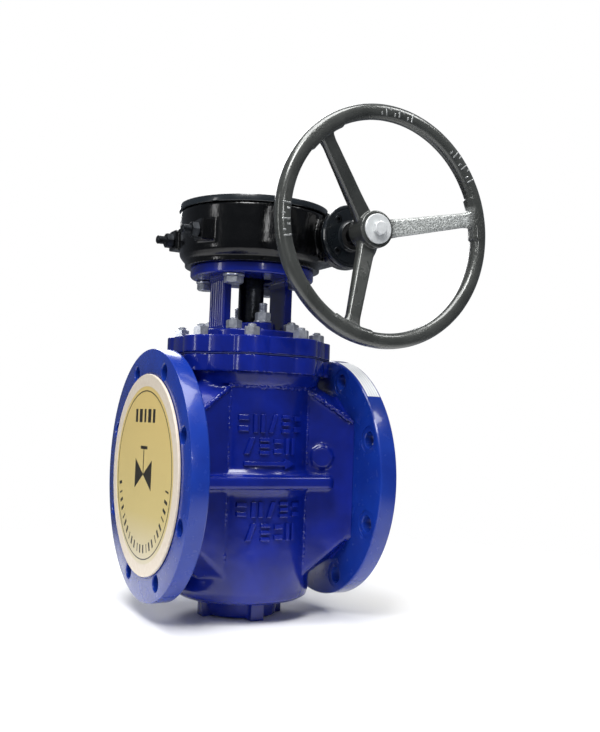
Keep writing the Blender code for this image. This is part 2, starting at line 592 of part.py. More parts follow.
def make_handwheel():
    """A cast handwheel: three spokes run out and forward from the hub to the rim."""
    start = (WORM_X, 0, WORM_Z)
    profile = [(HUB_R - 0.003, HUB_BACK), (HUB_R, HUB_BACK - 0.003), (HUB_R, HUB_FACE + 0.0015)]
    profile += [(HUB_R - 0.0015, HUB_FACE), (JOURNAL_R + GAP, HUB_FACE), (JOURNAL_R + GAP, HUB_BACK)]
    wheel = turned("handwheel", profile, dark_iron, start, "Y", 24)
    middle_r = RIM_OUTER_R - RIM_SECTION_R
    profile = []
    for i in range(8):
        angle = 2 * math.pi * i / 8
        radius = middle_r + RIM_SECTION_R * math.cos(angle)
        profile.append((radius, WHEEL_RIM_Y - RIM_SECTION_R * math.sin(angle)))
    join(wheel, turned("rim", profile, None, start, "Y", 44))
    outline = ((-1, -0.5), (-0.6, -1), (0.6, -1), (1, -0.5), (1, 0.5), (0.6, 1), (-0.6, 1), (-1, 0.5))
    for degrees in SPOKE_ANGLES:
        angle = math.radians(degrees)
        out, side = (math.cos(angle), math.sin(angle)), (-math.sin(angle), math.cos(angle))
        sections = []
        for reach, y, half, thick in ((0.018, -0.164, 0.0125, 0.008), (0.146, WHEEL_RIM_Y, 0.0095, 0.006)):
            section = []
            for across, along in outline:
                x = WORM_X + out[0] * reach + side[0] * half * across
                z = WORM_Z + out[1] * reach + side[1] * half * across
                section.append((x, y + thick * along, z))
            sections.append(section)
        join(wheel, loft(f"spoke_{degrees}", sections))
    slot_low = (WORM_X - 0.0033, -0.19, WORM_Z + 0.008)
    cut(wheel, block("hub_keyway", slot_low, (WORM_X + 0.0033, -0.14, WORM_Z + 0.0158)))
    washer_face = HUB_FACE - GAP - 0.003
    ring("hub_washer", 0.0055, 0.020, washer_face, HUB_FACE - GAP, zinc_steel, start, "Y", 24)
    form = bmesh.new()
    head = washer_face - GAP
    add_rod(form, 0.017 / math.sqrt(3), head - 0.007, head, (WORM_X, WORM_Z), "Y", 6)
    bolt = from_bmesh("hub_bolt", form, zinc_steel)
    join(bolt, rods("hub_bolt_shank", 0.005, head - 0.001, -0.1585, [(WORM_X, WORM_Z)], "Y", 12))


def make_covers():
    """The discs that close the flanges until the valve is fitted. A low spigot holds each in the bore."""
    reach = FACE_TO_FACE / 2
    for name, side in (("inlet_cover", -1), ("outlet_cover", 1)):
        face = reach + GAP
        profile = [(0, face + 0.0037), (0.1345, face + 0.0037), (0.1355, face + 0.0027), (0.1355, face)]
        profile += [(BORE_R - 0.003, face), (BORE_R - 0.005, face - 0.006), (0, face - 0.006)]
        if side < 0:
            profile = [(radius, -height) for radius, height in reversed(profile)]
        turned(name, profile, gold_board, (0, 0, PIPE_Z), "X", 40)


clear_scene()
valve = collection("plug_valve")
helpers = collection("cutters")
blue_paint = finish("blue_paint", (0.015, 0.035, 0.33), 0.22, 0.0)
black_paint = finish("black_paint", (0.008, 0.008, 0.010), 0.25, 0.0)
dark_iron = finish("dark_iron", (0.045, 0.047, 0.045), 0.35, 0.4)
bare_iron = finish("bare_iron", (0.12, 0.11, 0.10), 0.55, 0.8)
steel = finish("steel", (0.40, 0.40, 0.40), 0.35, 1.0)
zinc_steel = finish("zinc_steel", (0.60, 0.61, 0.60), 0.35, 1.0)
black_steel = finish("black_steel", (0.02, 0.02, 0.022), 0.35, 0.6)
dark_steel = finish("dark_steel", (0.06, 0.06, 0.065), 0.35, 0.9)
bronze = finish("bronze", (0.50, 0.30, 0.12), 0.35, 1.0)
gold_board = finish("gold_board", (0.70, 0.52, 0.20), 0.30, 0.3)
gasket_grey = finish("gasket_grey", (0.10, 0.10, 0.10), 0.8, 0.0)
packing_grey = finish("packing_grey", (0.06, 0.06, 0.06), 0.9, 0.0)
rubber = finish("rubber", (0.02, 0.02, 0.02), 0.7, 0.0)

make_body()
make_plug()
make_seat_and_bushes()
make_bonnet()
make_studs()
make_gland()
make_yoke()
make_stem()
make_worm_wheel()
make_gearbox()
make_worm()
make_stops()
make_handwheel()
make_covers()
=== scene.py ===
import math
import random

import bpy
from mathutils import Euler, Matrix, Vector


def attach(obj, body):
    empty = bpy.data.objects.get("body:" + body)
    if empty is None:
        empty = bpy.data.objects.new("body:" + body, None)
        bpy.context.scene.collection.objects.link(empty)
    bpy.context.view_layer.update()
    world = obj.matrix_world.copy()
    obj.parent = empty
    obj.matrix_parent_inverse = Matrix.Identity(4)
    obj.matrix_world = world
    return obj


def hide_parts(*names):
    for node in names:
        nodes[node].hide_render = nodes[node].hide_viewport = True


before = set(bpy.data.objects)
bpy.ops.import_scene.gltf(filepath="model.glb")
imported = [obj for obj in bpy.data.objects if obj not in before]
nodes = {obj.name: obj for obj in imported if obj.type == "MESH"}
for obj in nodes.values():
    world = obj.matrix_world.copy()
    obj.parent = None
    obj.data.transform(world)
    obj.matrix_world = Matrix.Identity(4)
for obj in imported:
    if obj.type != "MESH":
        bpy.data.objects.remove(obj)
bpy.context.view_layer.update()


# ---------------------------------------------------------------------------------------------------------
# Body casting. One grey iron casting with the barrel, two square necks, a rib, a lobed top flange and
# crossed feet round a low disc. It is sand cast, so its edges are soft, then bored and machined inside, and
# finished in thick glossy blue enamel.

def pick(item):
    """Makes this the one selected and active object."""
    bpy.ops.object.select_all(action="DESELECT")
    item.select_set(True)
    bpy.context.view_layer.objects.active = item


def close_up():
    """Leaves edit mode with the seams merged and every face turned outwards."""
    bpy.ops.mesh.select_all(action="SELECT")
    bpy.ops.mesh.remove_doubles(threshold=0.00001)
    bpy.ops.mesh.normals_make_consistent(inside=False)
    bpy.ops.object.mode_set(mode="OBJECT")


def settle(item):
    """Puts the object's place, turn and scale into its mesh."""
    pick(item)
    bpy.ops.object.transform_apply(location=True, rotation=True, scale=True)
    return item


TURNS = {"X": (0, math.pi / 2, 0), "Y": (-math.pi / 2, 0, 0), "Z": (0, 0, 0)}


def along(axis, distance, across=(0, 0)):
    """A point at a distance along an axis, and across it at the other two coordinates in order."""
    point = list(across)
    point.insert("XYZ".index(axis), distance)
    return Vector(point)


def rod(radius, low, high, across=(0, 0), axis="Z", sides=48, top=None):
    """A round bar, or a cone where the far end has another radius."""
    bpy.ops.object.select_all(action="DESELECT")
    bpy.ops.mesh.primitive_cone_add(
        vertices=sides,
        radius1=radius,
        radius2=radius if top is None else top,
        depth=high - low,
        location=along(axis, (low + high) / 2, across),
        rotation=TURNS[axis],
    )
    return settle(bpy.context.object)


def slab(low, high):
    """A block between two corners."""
    bpy.ops.object.select_all(action="DESELECT")
    middle = [(a + b) / 2 for a, b in zip(low, high)]
    bpy.ops.mesh.primitive_cube_add(size=1, location=middle)
    item = bpy.context.object
    item.scale = [b - a for a, b in zip(low, high)]
    return settle(item)


def trace(points):
    """In edit mode, draws a line through the points."""
    bpy.ops.mesh.primitive_plane_add(size=0.002)
    bpy.ops.mesh.merge(type="CENTER")
    bpy.ops.transform.translate(value=points[0])
    for here, there in zip(points, points[1:]):
        step = Vector(there) - Vector(here)
        bpy.ops.mesh.extrude_region_move(TRANSFORM_OT_translate={"value": step})


def sheet_of_nothing():
    """A new object in edit mode with an empty mesh, to draw in."""
    bpy.ops.object.select_all(action="DESELECT")
    bpy.ops.mesh.primitive_plane_add(size=0.002)
    bpy.ops.object.mode_set(mode="EDIT")
    bpy.ops.mesh.delete(type="VERT")
    return bpy.context.object


def spun(profile, axis="Z", across=(0, 0), steps=64, turn=360, first=0):
    """A form turned about an axis from (radius, height) points. A part turn has its two ends filled."""
    item = sheet_of_nothing()
    start = math.radians(first)
    trace([(radius * math.cos(start), radius * math.sin(start), height) for radius, height in profile])
    bpy.ops.mesh.select_all(action="SELECT")
    bpy.ops.mesh.spin(steps=steps, angle=-math.radians(turn), center=(0, 0, 0), axis=(0, 0, 1))
    bpy.ops.mesh.select_all(action="SELECT")
    bpy.ops.mesh.remove_doubles(threshold=0.00001)
    if turn < 360:
        bpy.ops.mesh.fill_holes(sides=0)
    close_up()
    item.rotation_euler = TURNS[axis]
    item.location = along(axis, 0, across)
    return settle(item)


def ring(count, radius, first=0.0, centre=(0, 0)):
    """Points spaced evenly round a circle, from a first angle in degrees."""
    angles = [math.radians(first + 360 * i / count) for i in range(count)]
    return [(centre[0] + radius * math.cos(a), centre[1] + radius * math.sin(a)) for a in angles]


def prism(outline, push):
    """A flat outline pushed out into a solid."""
    item = sheet_of_nothing()
    trace([*outline, outline[0]])
    bpy.ops.mesh.select_all(action="SELECT")
    bpy.ops.mesh.remove_doubles(threshold=0.00001)
    bpy.ops.mesh.edge_face_add()
    bpy.ops.mesh.extrude_region_move(TRANSFORM_OT_translate={"value": push})
    close_up()
    return item


def lofted(sections):
    """A solid bridged through closed sections."""
    item = sheet_of_nothing()
    for section in sections:
        trace([*section, section[0]])
    bpy.ops.mesh.select_all(action="SELECT")
    bpy.ops.mesh.remove_doubles(threshold=0.00001)
    bpy.ops.mesh.bridge_edge_loops()
    bpy.ops.mesh.select_all(action="SELECT")
    bpy.ops.mesh.fill_holes(sides=0)
    close_up()
    return item


def worked(item, kind, **settings):
    """Adds a modifier and applies it."""
    step = item.modifiers.new(kind.title(), kind)
    for key, value in settings.items():
        setattr(step, key, value)
    pick(item)
    bpy.ops.object.modifier_apply(modifier=step.name)
    return item


def combined(item, operation, others):
    for other in others:
        worked(item, "BOOLEAN", operation=operation, solver="EXACT", object=other)
        bpy.data.objects.remove(other)
    return item


def cut(item, *others):
    return combined(item, "DIFFERENCE", others)


def welded(item, *others):
    return combined(item, "UNION", others)


def gathered(*items):
    """The items as one object, its forms still lying through each other."""
    pick(items[0])
    for item in items[1:]:
        item.select_set(True)
    bpy.ops.object.join()
    return items[0]


def as_cast(item, voxel, passes, lumps=0.0, lump_size=0.03):
    """Merges the forms and softens their edges as sand casting and paint do, and sinks shallow hollows."""
    worked(item, "REMESH", mode="VOXEL", voxel_size=voxel)
    worked(item, "SMOOTH", factor=0.5, iterations=passes)
    if lumps:
        sand = bpy.data.textures.new("sand", "CLOUDS")
        sand.noise_scale = lump_size
        worked(item, "DISPLACE", texture=sand, strength=lumps, mid_level=1.0)
    return item


def eased(item, width, segments=2, angle=30):
    return worked(
        item,
        "BEVEL",
        width=width,
        segments=segments,
        limit_method="ANGLE",
        angle_limit=math.radians(angle),
        use_clamp_overlap=True,
    )


def fitted(item, name, finish, body, slot, *replaced, smooth_below=35):
    """Names and paints a finished piece, and fixes it to its body in place of the nodes it stands for."""
    item.name = name
    item.data.name = name
    item.data.materials.clear()
    item.data.materials.append(finish)
    pick(item)
    bpy.ops.object.shade_smooth_by_angle(angle=math.radians(smooth_below))
    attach(item, body)
    if replaced:
        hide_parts(*replaced)
    return item


def copied(item, shift, turn=0.0):
    """A copy with its own mesh, moved and turned about the upright."""
    twin = item.copy()
    twin.data = item.data.copy()
    bpy.context.scene.collection.objects.link(twin)
    twin.location = shift
    twin.rotation_euler = (0, 0, turn)
    return settle(twin)


def linear(code):
    """An sRGB hex colour as linear RGBA."""
    parts = [int(code[i : i + 2], 16) / 255 for i in (1, 3, 5)]
    parts = [p / 12.92 if p <= 0.04045 else ((p + 0.055) / 1.055) ** 2.4 for p in parts]
    return (*parts, 1.0)


def feed(tree, node, **inputs):
    """Sets or links a node's inputs by name, or by number after an underscore."""
    for key, value in inputs.items():
        socket = node.inputs[int(key[1:])] if key[1:].isdigit() else node.inputs[key.replace("_", " ")]
        if isinstance(value, bpy.types.NodeSocket):
            tree.links.new(value, socket)
        else:
            socket.default_value = value


def add_node(tree, kind, settings=None, **inputs):
    """A node with its settings, and its inputs set or linked."""
    made = tree.nodes.new(kind)
    for key, value in (settings or {}).items():
        setattr(made, key, value)
    feed(tree, made, **inputs)
    return made


def noise(tree, place, size, detail):
    """Soft mottling whose patches are about the size given."""
    made = add_node(tree, "ShaderNodeTexNoise", Vector=place, Scale=1 / size, Detail=detail)
    return made.outputs["Fac"]


def mapped(tree, value, low, high, start=0.0, end=1.0):
    """Runs from low to high while the value given runs from start to end."""
    sizes = {"From_Min": start, "From_Max": end, "To_Min": low, "To_Max": high}
    return add_node(tree, "ShaderNodeMapRange", Value=value, **sizes).outputs["Result"]


def reckoned(tree, operation, *values):
    """One step of arithmetic on values."""
    numbered = {f"_{i}": value for i, value in enumerate(values)}
    return add_node(tree, "ShaderNodeMath", {"operation": operation}, **numbered).outputs["Value"]


def bumped(tree, height, depth, **under):
    """The normal of a surface raised by a height, over any bump already there."""
    made = add_node(tree, "ShaderNodeBump", Height=height, Strength=1.0, Distance=depth, **under)
    return made.outputs["Normal"]


def ramped(tree, factor, *stops):
    """A colour ramp through (place, hex colour) stops."""
    made = add_node(tree, "ShaderNodeValToRGB", Fac=factor)
    first, last = made.color_ramp.elements
    first.position, first.color = stops[0][0], linear(stops[0][1])
    last.position, last.color = stops[-1][0], linear(stops[-1][1])
    for place, code in stops[1:-1]:
        made.color_ramp.elements.new(place).color = linear(code)
    return made.outputs["Color"]


def begin(name):
    """A new material, its tree, its shader and the object's own coordinates."""
    made = bpy.data.materials.new(name)
    made.use_nodes = True
    tree = made.node_tree
    place = add_node(tree, "ShaderNodeTexCoord").outputs["Object"]
    return made, tree, tree.nodes["Principled BSDF"], place


def enamel(name, thin, thick, roughness, peel, wave, grain=0.0, coat=0.40):
    """Thick alkyd enamel over iron. It pools to the deeper colour, and its skin has a fine orange peel
    2.5 mm across over the broad waves of the casting, which break up each reflection."""
    made, tree, shader, place = begin(name)
    skin = bumped(tree, noise(tree, place, 0.022, 2.0), wave)
    skin = bumped(tree, noise(tree, place, 0.0025, 1.0), peel, Normal=skin)
    if grain:
        sand = add_node(tree, "ShaderNodeTexVoronoi", Vector=place, Scale=1 / 0.0022)
        skin = bumped(tree, sand.outputs["Distance"], grain, Normal=skin)
    feed(
        tree,
        shader,
        Base_Color=ramped(tree, noise(tree, place, 0.045, 3.0), (0.3, thin), (0.7, thick)),
        Roughness=mapped(tree, noise(tree, place, 0.012, 4.0), roughness * 0.7, roughness * 1.4),
        Specular_IOR_Level=0.30,
        Coat_Weight=coat,
        Coat_Roughness=0.06,
        Coat_IOR=1.5,
        Normal=skin,
        Coat_Normal=skin,
    )
    return made


cast_blue = enamel("blue_enamel_on_casting", "#0b2088", "#08186e", 0.22, 0.00006, 0.00022)

pipe_z = 0.193
barrel_r = 0.095
body_top = 0.3575


def across_pipe(x, wide, side_up, side_down, flat, up, down):
    """A section of the neck: upright sides, with sloped shoulders above and below."""
    half = [(wide, -side_down), (wide, side_up), (flat, up)]
    outline = half + [(-y, z) for y, z in reversed(half)] + [(-flat, -down), (flat, -down)]
    return [(x, y, pipe_z + z) for y, z in outline]


def lobed_plate(low, high, shrink=0.0):
    """A round plate with a lobe for each of the eight bonnet studs."""
    forms = [rod(0.109 - shrink, low, high, sides=96)]
    for spot in ring(8, 0.082, 22.5):
        forms.append(rod(0.034 - shrink, low, high, spot, sides=64))
    return welded(*forms)


at_barrel = (0.0750, 0.1210, 0.1330, 0.0500, 0.1430, 0.1480)
near_flange = (0.0952, 0.0800, 0.0810, 0.0455, 0.1150, 0.1155)
at_flange = (0.1005, 0.0790, 0.0790, 0.0480, 0.1170, 0.1170)
neck_places = ((-0.1208, at_flange), (-0.1150, near_flange), (-0.0550, at_barrel))
neck_places += tuple((-x, sizes) for x, sizes in reversed(neck_places))
core = spun(
    [
        (0, body_top - 0.006), (barrel_r, body_top - 0.006), (barrel_r, 0.040), (0.0925, 0.031),
        (0.084, 0.026), (0, 0.026),
    ],
    steps=96,
)
rib_round = [
    (0.076 + 0.012 * math.cos(math.radians(a)), 0.100 + 0.012 * math.sin(math.radians(a)))
    for a in (0, 22, 45, 68, 90)
]
rib_outline = [(-0.1195, -0.112), *[(x, -y) for x, y in reversed(rib_round)], *rib_round, (-0.1195, 0.112)]
neck_boss = rod(0.0155, -0.0042, 0.020, sides=40, axis="Y")
neck_boss.rotation_euler = (0, 0, -math.atan2(0.0202, 0.060))
neck_boss.location = (0.078, -0.0829, pipe_z + 0.030)
settle(neck_boss)
upper_fillet = [
    (0.088, 0.1945), (0.1035, 0.1955), (0.0985, 0.1995), (0.0960, 0.2050), (0.088, 0.207), (0.088, 0.1945)
]
lower_fillet = [
    (0.088, 0.171), (0.0960, 0.1735), (0.0980, 0.1785), (0.1015, 0.1825), (0.088, 0.184), (0.088, 0.171)
]
body = gathered(
    core,
    lofted([across_pipe(x, *sizes) for x, sizes in neck_places]),
    rod(0.0990, 0.333, body_top - 0.006, sides=96),
    rod(0.0985, 0.3185, 0.336, sides=96, top=0.104),
    prism([(x, y, 0.1812) for x, y in rib_outline], (0, 0, 0.0156)),
    slab((-0.060, -0.0098, 0), (0.060, 0.0098, 0.036)),
    slab((-0.0098, -0.060, 0), (0.0098, 0.060, 0.036)),
    rod(0.050, 0.002, 0.036, sides=64, top=0.056),
    spun(upper_fillet, steps=96),
    spun(lower_fillet, steps=96),
    neck_boss,
)
as_cast(body, 0.0024, 4, lumps=0.0004)
top_flange = as_cast(lobed_plate(0.3345, body_top, 0.0004), 0.0014, 2, lumps=0.0003)


def way_section(x, half_y, half_z, squareness):
    """The way through the pipe, from round (2) to nearly square (5)."""
    section = []
    for i in range(48):
        angle = 2 * math.pi * i / 48
        c, s = math.cos(angle), math.sin(angle)
        y = half_y * math.copysign(abs(c) ** (2 / squareness), c)
        z = half_z * math.copysign(abs(s) ** (2 / squareness), s)
        section.append((x, y, pipe_z + z))
    return section


inside = rod(0.082, 0.077, 0.37, sides=96)
inlet_way = [
    (-0.148, 0.1, 0.1, 2), (-0.120, 0.088, 0.096, 2.4), (-0.070, 0.062, 0.090, 4), (-0.030, 0.062, 0.090, 4)
]
outlet_way = [
    (0.074, 0.050, 0.088, 5), (0.088, 0.050, 0.088, 5), (0.120, 0.088, 0.096, 2.4), (0.148, 0.1, 0.1, 2)
]
welded(
    inside,
    rod(0.0263, 0.045, 0.087, sides=48),
    lofted([way_section(*sizes) for sizes in inlet_way]),
    lofted([way_section(*sizes) for sizes in outlet_way]),
    slab((0.035, -0.0563, pipe_z - 0.0943), (0.0843, 0.0563, pipe_z + 0.0943)),
)
stud_spots = ring(8, 0.096, 22.5)
stud_hole = 0.0063
holes = gathered(*[rod(stud_hole, 0.3355, 0.3675, spot, sides=20) for spot in stud_spots])
cut(body, gathered(inside, holes))
cut(top_flange, rod(0.082, 0.32, 0.37, sides=96))
for spot in stud_spots:
    cut(top_flange, rod(stud_hole, 0.3365, 0.3675, spot, sides=20))
fitted(top_flange, "body_top_flange", cast_blue, "valve_body", "blue_enamel")
fitted(body, "body_core", cast_blue, "valve_body", "blue_enamel", "body_casting")

# ---------------------------------------------------------------------------------------------------------
# Marks and seams of the casting. The pattern leaves a flow arrow and rows of raised marks on the barrel,
# and the core box leaves lumpy seams where the necks meet it. All are iron, and painted with the body.

def on_front(outline):
    """An outline drawn on the front of the barrel, given across and up from the pipe's axis."""
    return prism([(x, -0.120, pipe_z + z) for x, z in outline], (0, 0.060, 0))


def bar(x, z, wide, tall, lean=0.0):
    """An upright mark on the barrel, or a leaning one."""
    return on_front(
        [
            (x - wide / 2 - lean, z - tall / 2), (x + wide / 2 - lean, z - tall / 2),
            (x + wide / 2 + lean, z + tall / 2), (x - wide / 2 + lean, z + tall / 2),
        ]
    )


arrow = [
    (-0.0416, -0.0030), (0.0150, -0.0030), (0.0150, -0.0078), (0.0325, 0), (0.0150, 0.0078),
    (0.0150, 0.0030), (-0.0416, 0.0030),
]
marks = [on_front([(x, z + 0.0205) for x, z in arrow])]
mark_rows = (
    (0.074, 0.0250, -0.0430, 5), (0.0440, 0.0225, -0.0350, 4), (-0.0400, 0.0215, -0.0420, 5),
    (-0.0695, 0.0235, -0.0300, 4),
)
mark_pitch = 0.0195
for row, (z, tall, first_x, count) in enumerate(mark_rows):
    for i in range(count):
        x = first_x + i * mark_pitch
        kind = (i + 2 * row) % 4
        if kind == 0:
            marks += [
                bar(x, z + tall * 0.29, 0.0125, tall * 0.30), bar(x, z - tall * 0.29, 0.0125, tall * 0.30)
            ]
        elif kind == 1:
            marks += [bar(x - 0.0048, z, 0.0058, tall), bar(x + 0.0048, z, 0.0058, tall)]
        elif kind == 2:
            marks += [bar(x, z, 0.0064, tall, 0.0035)]
        else:
            marks += [bar(x, z + tall * step, 0.0135, 0.0054) for step in (0.38, 0, -0.38)]
raised = combined(gathered(*marks), "INTERSECT", [rod(barrel_r + 0.0036, 0.05, 0.34, sides=128)])
as_cast(raised, 0.0007, 4)
fitted(raised, "cast_marks", cast_blue, "valve_body", "blue_enamel")

lumps = random.Random(8)


def seam(start, end, bead, pitch=0.0030):
    """A run of overlapping beads between two points, each a little off the line."""
    start, end = Vector(start), Vector(end)
    count = max(2, int((end - start).length / pitch))
    beads = []
    for i in range(count + 1):
        spot = start.lerp(end, i / count)
        spot += Vector([lumps.uniform(-0.0006, 0.0006) for _ in range(3)])
        bpy.ops.object.select_all(action="DESELECT")
        size = bead * lumps.uniform(0.75, 1.3)
        bpy.ops.mesh.primitive_ico_sphere_add(subdivisions=2, radius=size, location=spot)
        bpy.context.object.scale = (1, 1, lumps.uniform(0.9, 1.8))
        beads.append(settle(bpy.context.object))
    return gathered(*beads)


seams = []
for side in (-1, 1):
    for face in (-1, 1):
        x, y = 0.0588 * side, 0.0738 * face
        seams.append(seam((x, y, 0.080), (x, y, 0.178), 0.0030))
        seams.append(seam((x, y, 0.200), (x, y, 0.312), 0.0030))
        seams.append(seam((x, y, 0.312), (0.0500 * side, 0.0560 * face, 0.334), 0.0022))
        seams.append(seam((0.118 * side, 0.0985 * face, 0.272), (x, 0.0745 * face, 0.314), 0.0026))
for face in (-1, 1):
    for i in range(6):
        a, b = (math.radians(-38 + 76 * k / 6) for k in (i, i + 1))
        for radius, z, bead in (
            (0.0950, 0.3165, 0.0024), (0.0945, 0.1805, 0.0017), (0.0945, 0.1975, 0.0017)
        ):
            ends = [(radius * math.sin(t), radius * face * math.cos(t), z) for t in (a, b)]
            seams.append(seam(*ends, bead))
rough = as_cast(gathered(*seams), 0.0010, 3)
fitted(rough, "casting_seams", cast_blue, "valve_body", "blue_enamel")

# ---------------------------------------------------------------------------------------------------------
# Pipe flanges. Cast with the body, but turned all over and drilled, so their edges are sharp and their rims
# run true. Each back is spot faced round its eight bolt holes. The same blue enamel, with fewer waves,
# painted in a lighter blue as the light their rims catch.

# A lighter copy of the body's blue: painted light standing for the highlight on the turned rims.
painted_lighter_blue = enamel("blue_enamel_painted_lighter_for_lit_rims", "#153798", "#102d88", 0.24, 0.00004, 0.00012)

flange_r = 0.1699
flange_profile = [
    (0.0975, 0.1203), (0.1180, 0.1203), (0.1215, 0.1198), (0.1670, 0.1206), (0.1688, 0.1214),
    (flange_r, 0.1230), (flange_r, 0.1446), (0.1696, 0.1455), (0.1688, 0.1459), (0.1375, 0.1459),
    (0.1368, 0.1454), (0.1005, 0.1454), (0.1000, 0.1449), (0.0975, 0.1203),
]
bolt_spots = ring(8, 0.1475, 22.5, (0, pipe_z))
hole_profile = [
    (0, 0.150), (0.0165, 0.150), (0.0110, 0.1447), (0.0110, 0.1220), (0.0120, 0.1211),
    (0.0185, 0.1211), (0.0185, 0.110), (0, 0.110),
]
for side, name in ((-1, "inlet"), (1, "outlet")):
    flange = spun([(radius, side * x) for radius, x in flange_profile], "X", (0, pipe_z), 180)
    cutters = [
        spun([(radius, side * x) for radius, x in hole_profile], "X", spot, 32) for spot in bolt_spots
    ]
    cut(flange, gathered(*cutters))
    fitted(flange, f"{name}_pipe_flange", painted_lighter_blue, "valve_body", "blue_enamel", smooth_below=30)

# ---------------------------------------------------------------------------------------------------------
# Plug, seat, bushes and keys. The plug is a bare iron casting ground on its face. The seat, bushes and
# thrust washer are turned from bronze bar, and the keys are cut from bright steel.

def metal(name, light, dark, roughness, patch, fine, depth, stretch=(1, 1, 1), metallic=1.0):
    """A machined or plated metal. Patches of the two colours come from oil and handling, and fine lines or
    pits of the size given come from the cutting tool, the plating or the sand."""
    made, tree, shader, place = begin(name)
    lines = add_node(tree, "ShaderNodeMapping", Vector=place, Scale=stretch)
    scratches = noise(tree, lines.outputs["Vector"], fine, 3.0)
    feed(
        tree,
        shader,
        Base_Color=ramped(tree, noise(tree, place, patch, 4.0), (0.35, light), (0.65, dark)),
        Metallic=metallic,
        Roughness=mapped(tree, scratches, roughness * 0.7, roughness * 1.4),
        Normal=bumped(tree, scratches, depth),
    )
    return made


def dress(finish, *names):
    """Gives a finish to nodes whose shape is already right."""
    for name in names:
        for place in nodes[name].material_slots:
            place.material = finish


bare_iron = metal("bare_cast_iron", "#8a8680", "#5f5a54", 0.50, 0.030, 0.0020, 0.00012)
bronze = metal("turned_bronze", "#c9a063", "#a67c42", 0.30, 0.020, 0.0012, 0.00003, (0.15, 0.15, 3.0))
key_steel = metal("bright_key_steel", "#c4c6c8", "#a4a7aa", 0.25, 0.012, 0.0010, 0.00002, (0.2, 1, 1))
dress(bare_iron, "plug")
dress(bronze, "seat_ring", "lower_bush", "thrust_washer", "upper_bush", "worm_wheel")
dress(key_steel, "plug_key", "stem_key", "handwheel_key", "front_bearing", "rear_bearing")

# ---------------------------------------------------------------------------------------------------------
# Bonnet. A lobed iron casting that closes the body, with a spigot below and the stuffing box in its neck.
# The gasket under it is compressed fibre sheet, cut to the same outline.

bonnet = gathered(
    lobed_plate(0.3592, 0.3832), rod(0.0795, 0.347, 0.365, sides=96), rod(0.033, 0.378, 0.3942, sides=64)
)
as_cast(bonnet, 0.0014, 2, lumps=0.0003)
yoke_spots = [(-0.044, -0.044), (0.044, -0.044), (0.044, 0.044), (-0.044, 0.044)]
welded(bonnet, rod(0.045, 0.3065, 0.350, sides=64))
bores = gathered(
    rod(0.0333, 0.30, 0.3415, sides=48),
    *[rod(stud_hole, 0.34, 0.40, spot, sides=20) for spot in stud_spots],
    *[rod(stud_hole, 0.366, 0.40, spot, sides=20) for spot in yoke_spots],
)
cut(bonnet, bores, rod(0.0183, 0.33, 0.37, sides=48), rod(0.0283, 0.36, 0.41, sides=48))
fitted(bonnet, "bonnet_casting", cast_blue, "valve_body", "blue_enamel", "bonnet")

gasket_sheet, tree, shader, place = begin("compressed_fibre_gasket")
# Pressed fibre sheet whose cut edge took the body's blue paint, with fibres about 3 mm long showing paler.
fibre_lines = add_node(tree, "ShaderNodeMapping", Vector=place, Scale=(1, 1, 6))
fibre = noise(tree, fibre_lines.outputs["Vector"], 0.003, 5.0)
feed(
    tree,
    shader,
    Base_Color=ramped(tree, fibre, (0.4, "#16205a"), (0.7, "#2c3a86")),
    Normal=bumped(tree, fibre, 0.0001),
    Roughness=0.8,
)
dress(gasket_sheet, "bonnet_gasket")

# ---------------------------------------------------------------------------------------------------------
# Stem, packing and gland. The stem is turned from dark stainless bar, with a keyway at each end. Graphite
# packing rings seal round it, pressed down by an oval iron gland in the same blue enamel.

stem_steel = metal("oiled_stem_steel", "#4a4c50", "#2a2c30", 0.28, 0.025, 0.0012, 0.00003, (0.2, 0.2, 4.0))
stem = spun(
    [(0, 0.560), (0.0160, 0.560), (0.0180, 0.558), (0.0180, 0.324), (0.0165, 0.322), (0, 0.322)], steps=72
)
cut(
    stem,
    slab((-0.03, -0.0043, 0.30), (-0.0142, 0.0043, 0.340)),
    slab((-0.03, -0.0053, 0.5087), (-0.0137, 0.0053, 0.5503)),
)
fitted(stem, "stem_bar", stem_steel, "plug_and_stem", "dark_steel", "stem")

graphite, tree, shader, place = begin("graphite_packing_braid")
# Braided graphite cord: dull grey with a soft sheen, its plaits about 3 mm apart round the stem.
wave = add_node(tree, "ShaderNodeTexWave", Vector=place, Scale=1 / 0.003 / 6.28, Distortion=4.0, Detail=2.0)
plait = wave.outputs["Fac"]
feed(
    tree,
    shader,
    Base_Color=ramped(tree, plait, (0.2, "#17181a"), (0.8, "#3c3e42")),
    Normal=bumped(tree, plait, 0.0003),
    Roughness=0.6,
)
dress(graphite, "packing")

gland_spots = [(0, -0.042), (0, 0.042)]
oval = []
for i in range(72):
    angle = 2 * math.pi * i / 72
    swell = 1 + 0.10 * math.cos(2 * angle) ** 2
    oval.append((0.0312 * swell * math.cos(angle), 0.0507 * swell * math.sin(angle), 0.3950))
gland = gathered(prism(oval, (0, 0, 0.0112)), rod(0.0265, 0.3885, 0.400, sides=48))
as_cast(gland, 0.0009, 4, lumps=0.0003)
cut(
    gland,
    rod(0.0184, 0.38, 0.41, sides=48),
    *[rod(stud_hole, 0.38, 0.41, spot, sides=20) for spot in gland_spots],
)
fitted(gland, "gland_casting", cast_blue, "valve_body", "blue_enamel", "gland")

# ---------------------------------------------------------------------------------------------------------
# Yoke. The pillar casting that holds the gearbox off the bonnet: a round foot, two ribbed arms and a
# thicker round flange on top. Sand cast, drilled, and painted blue with the body.

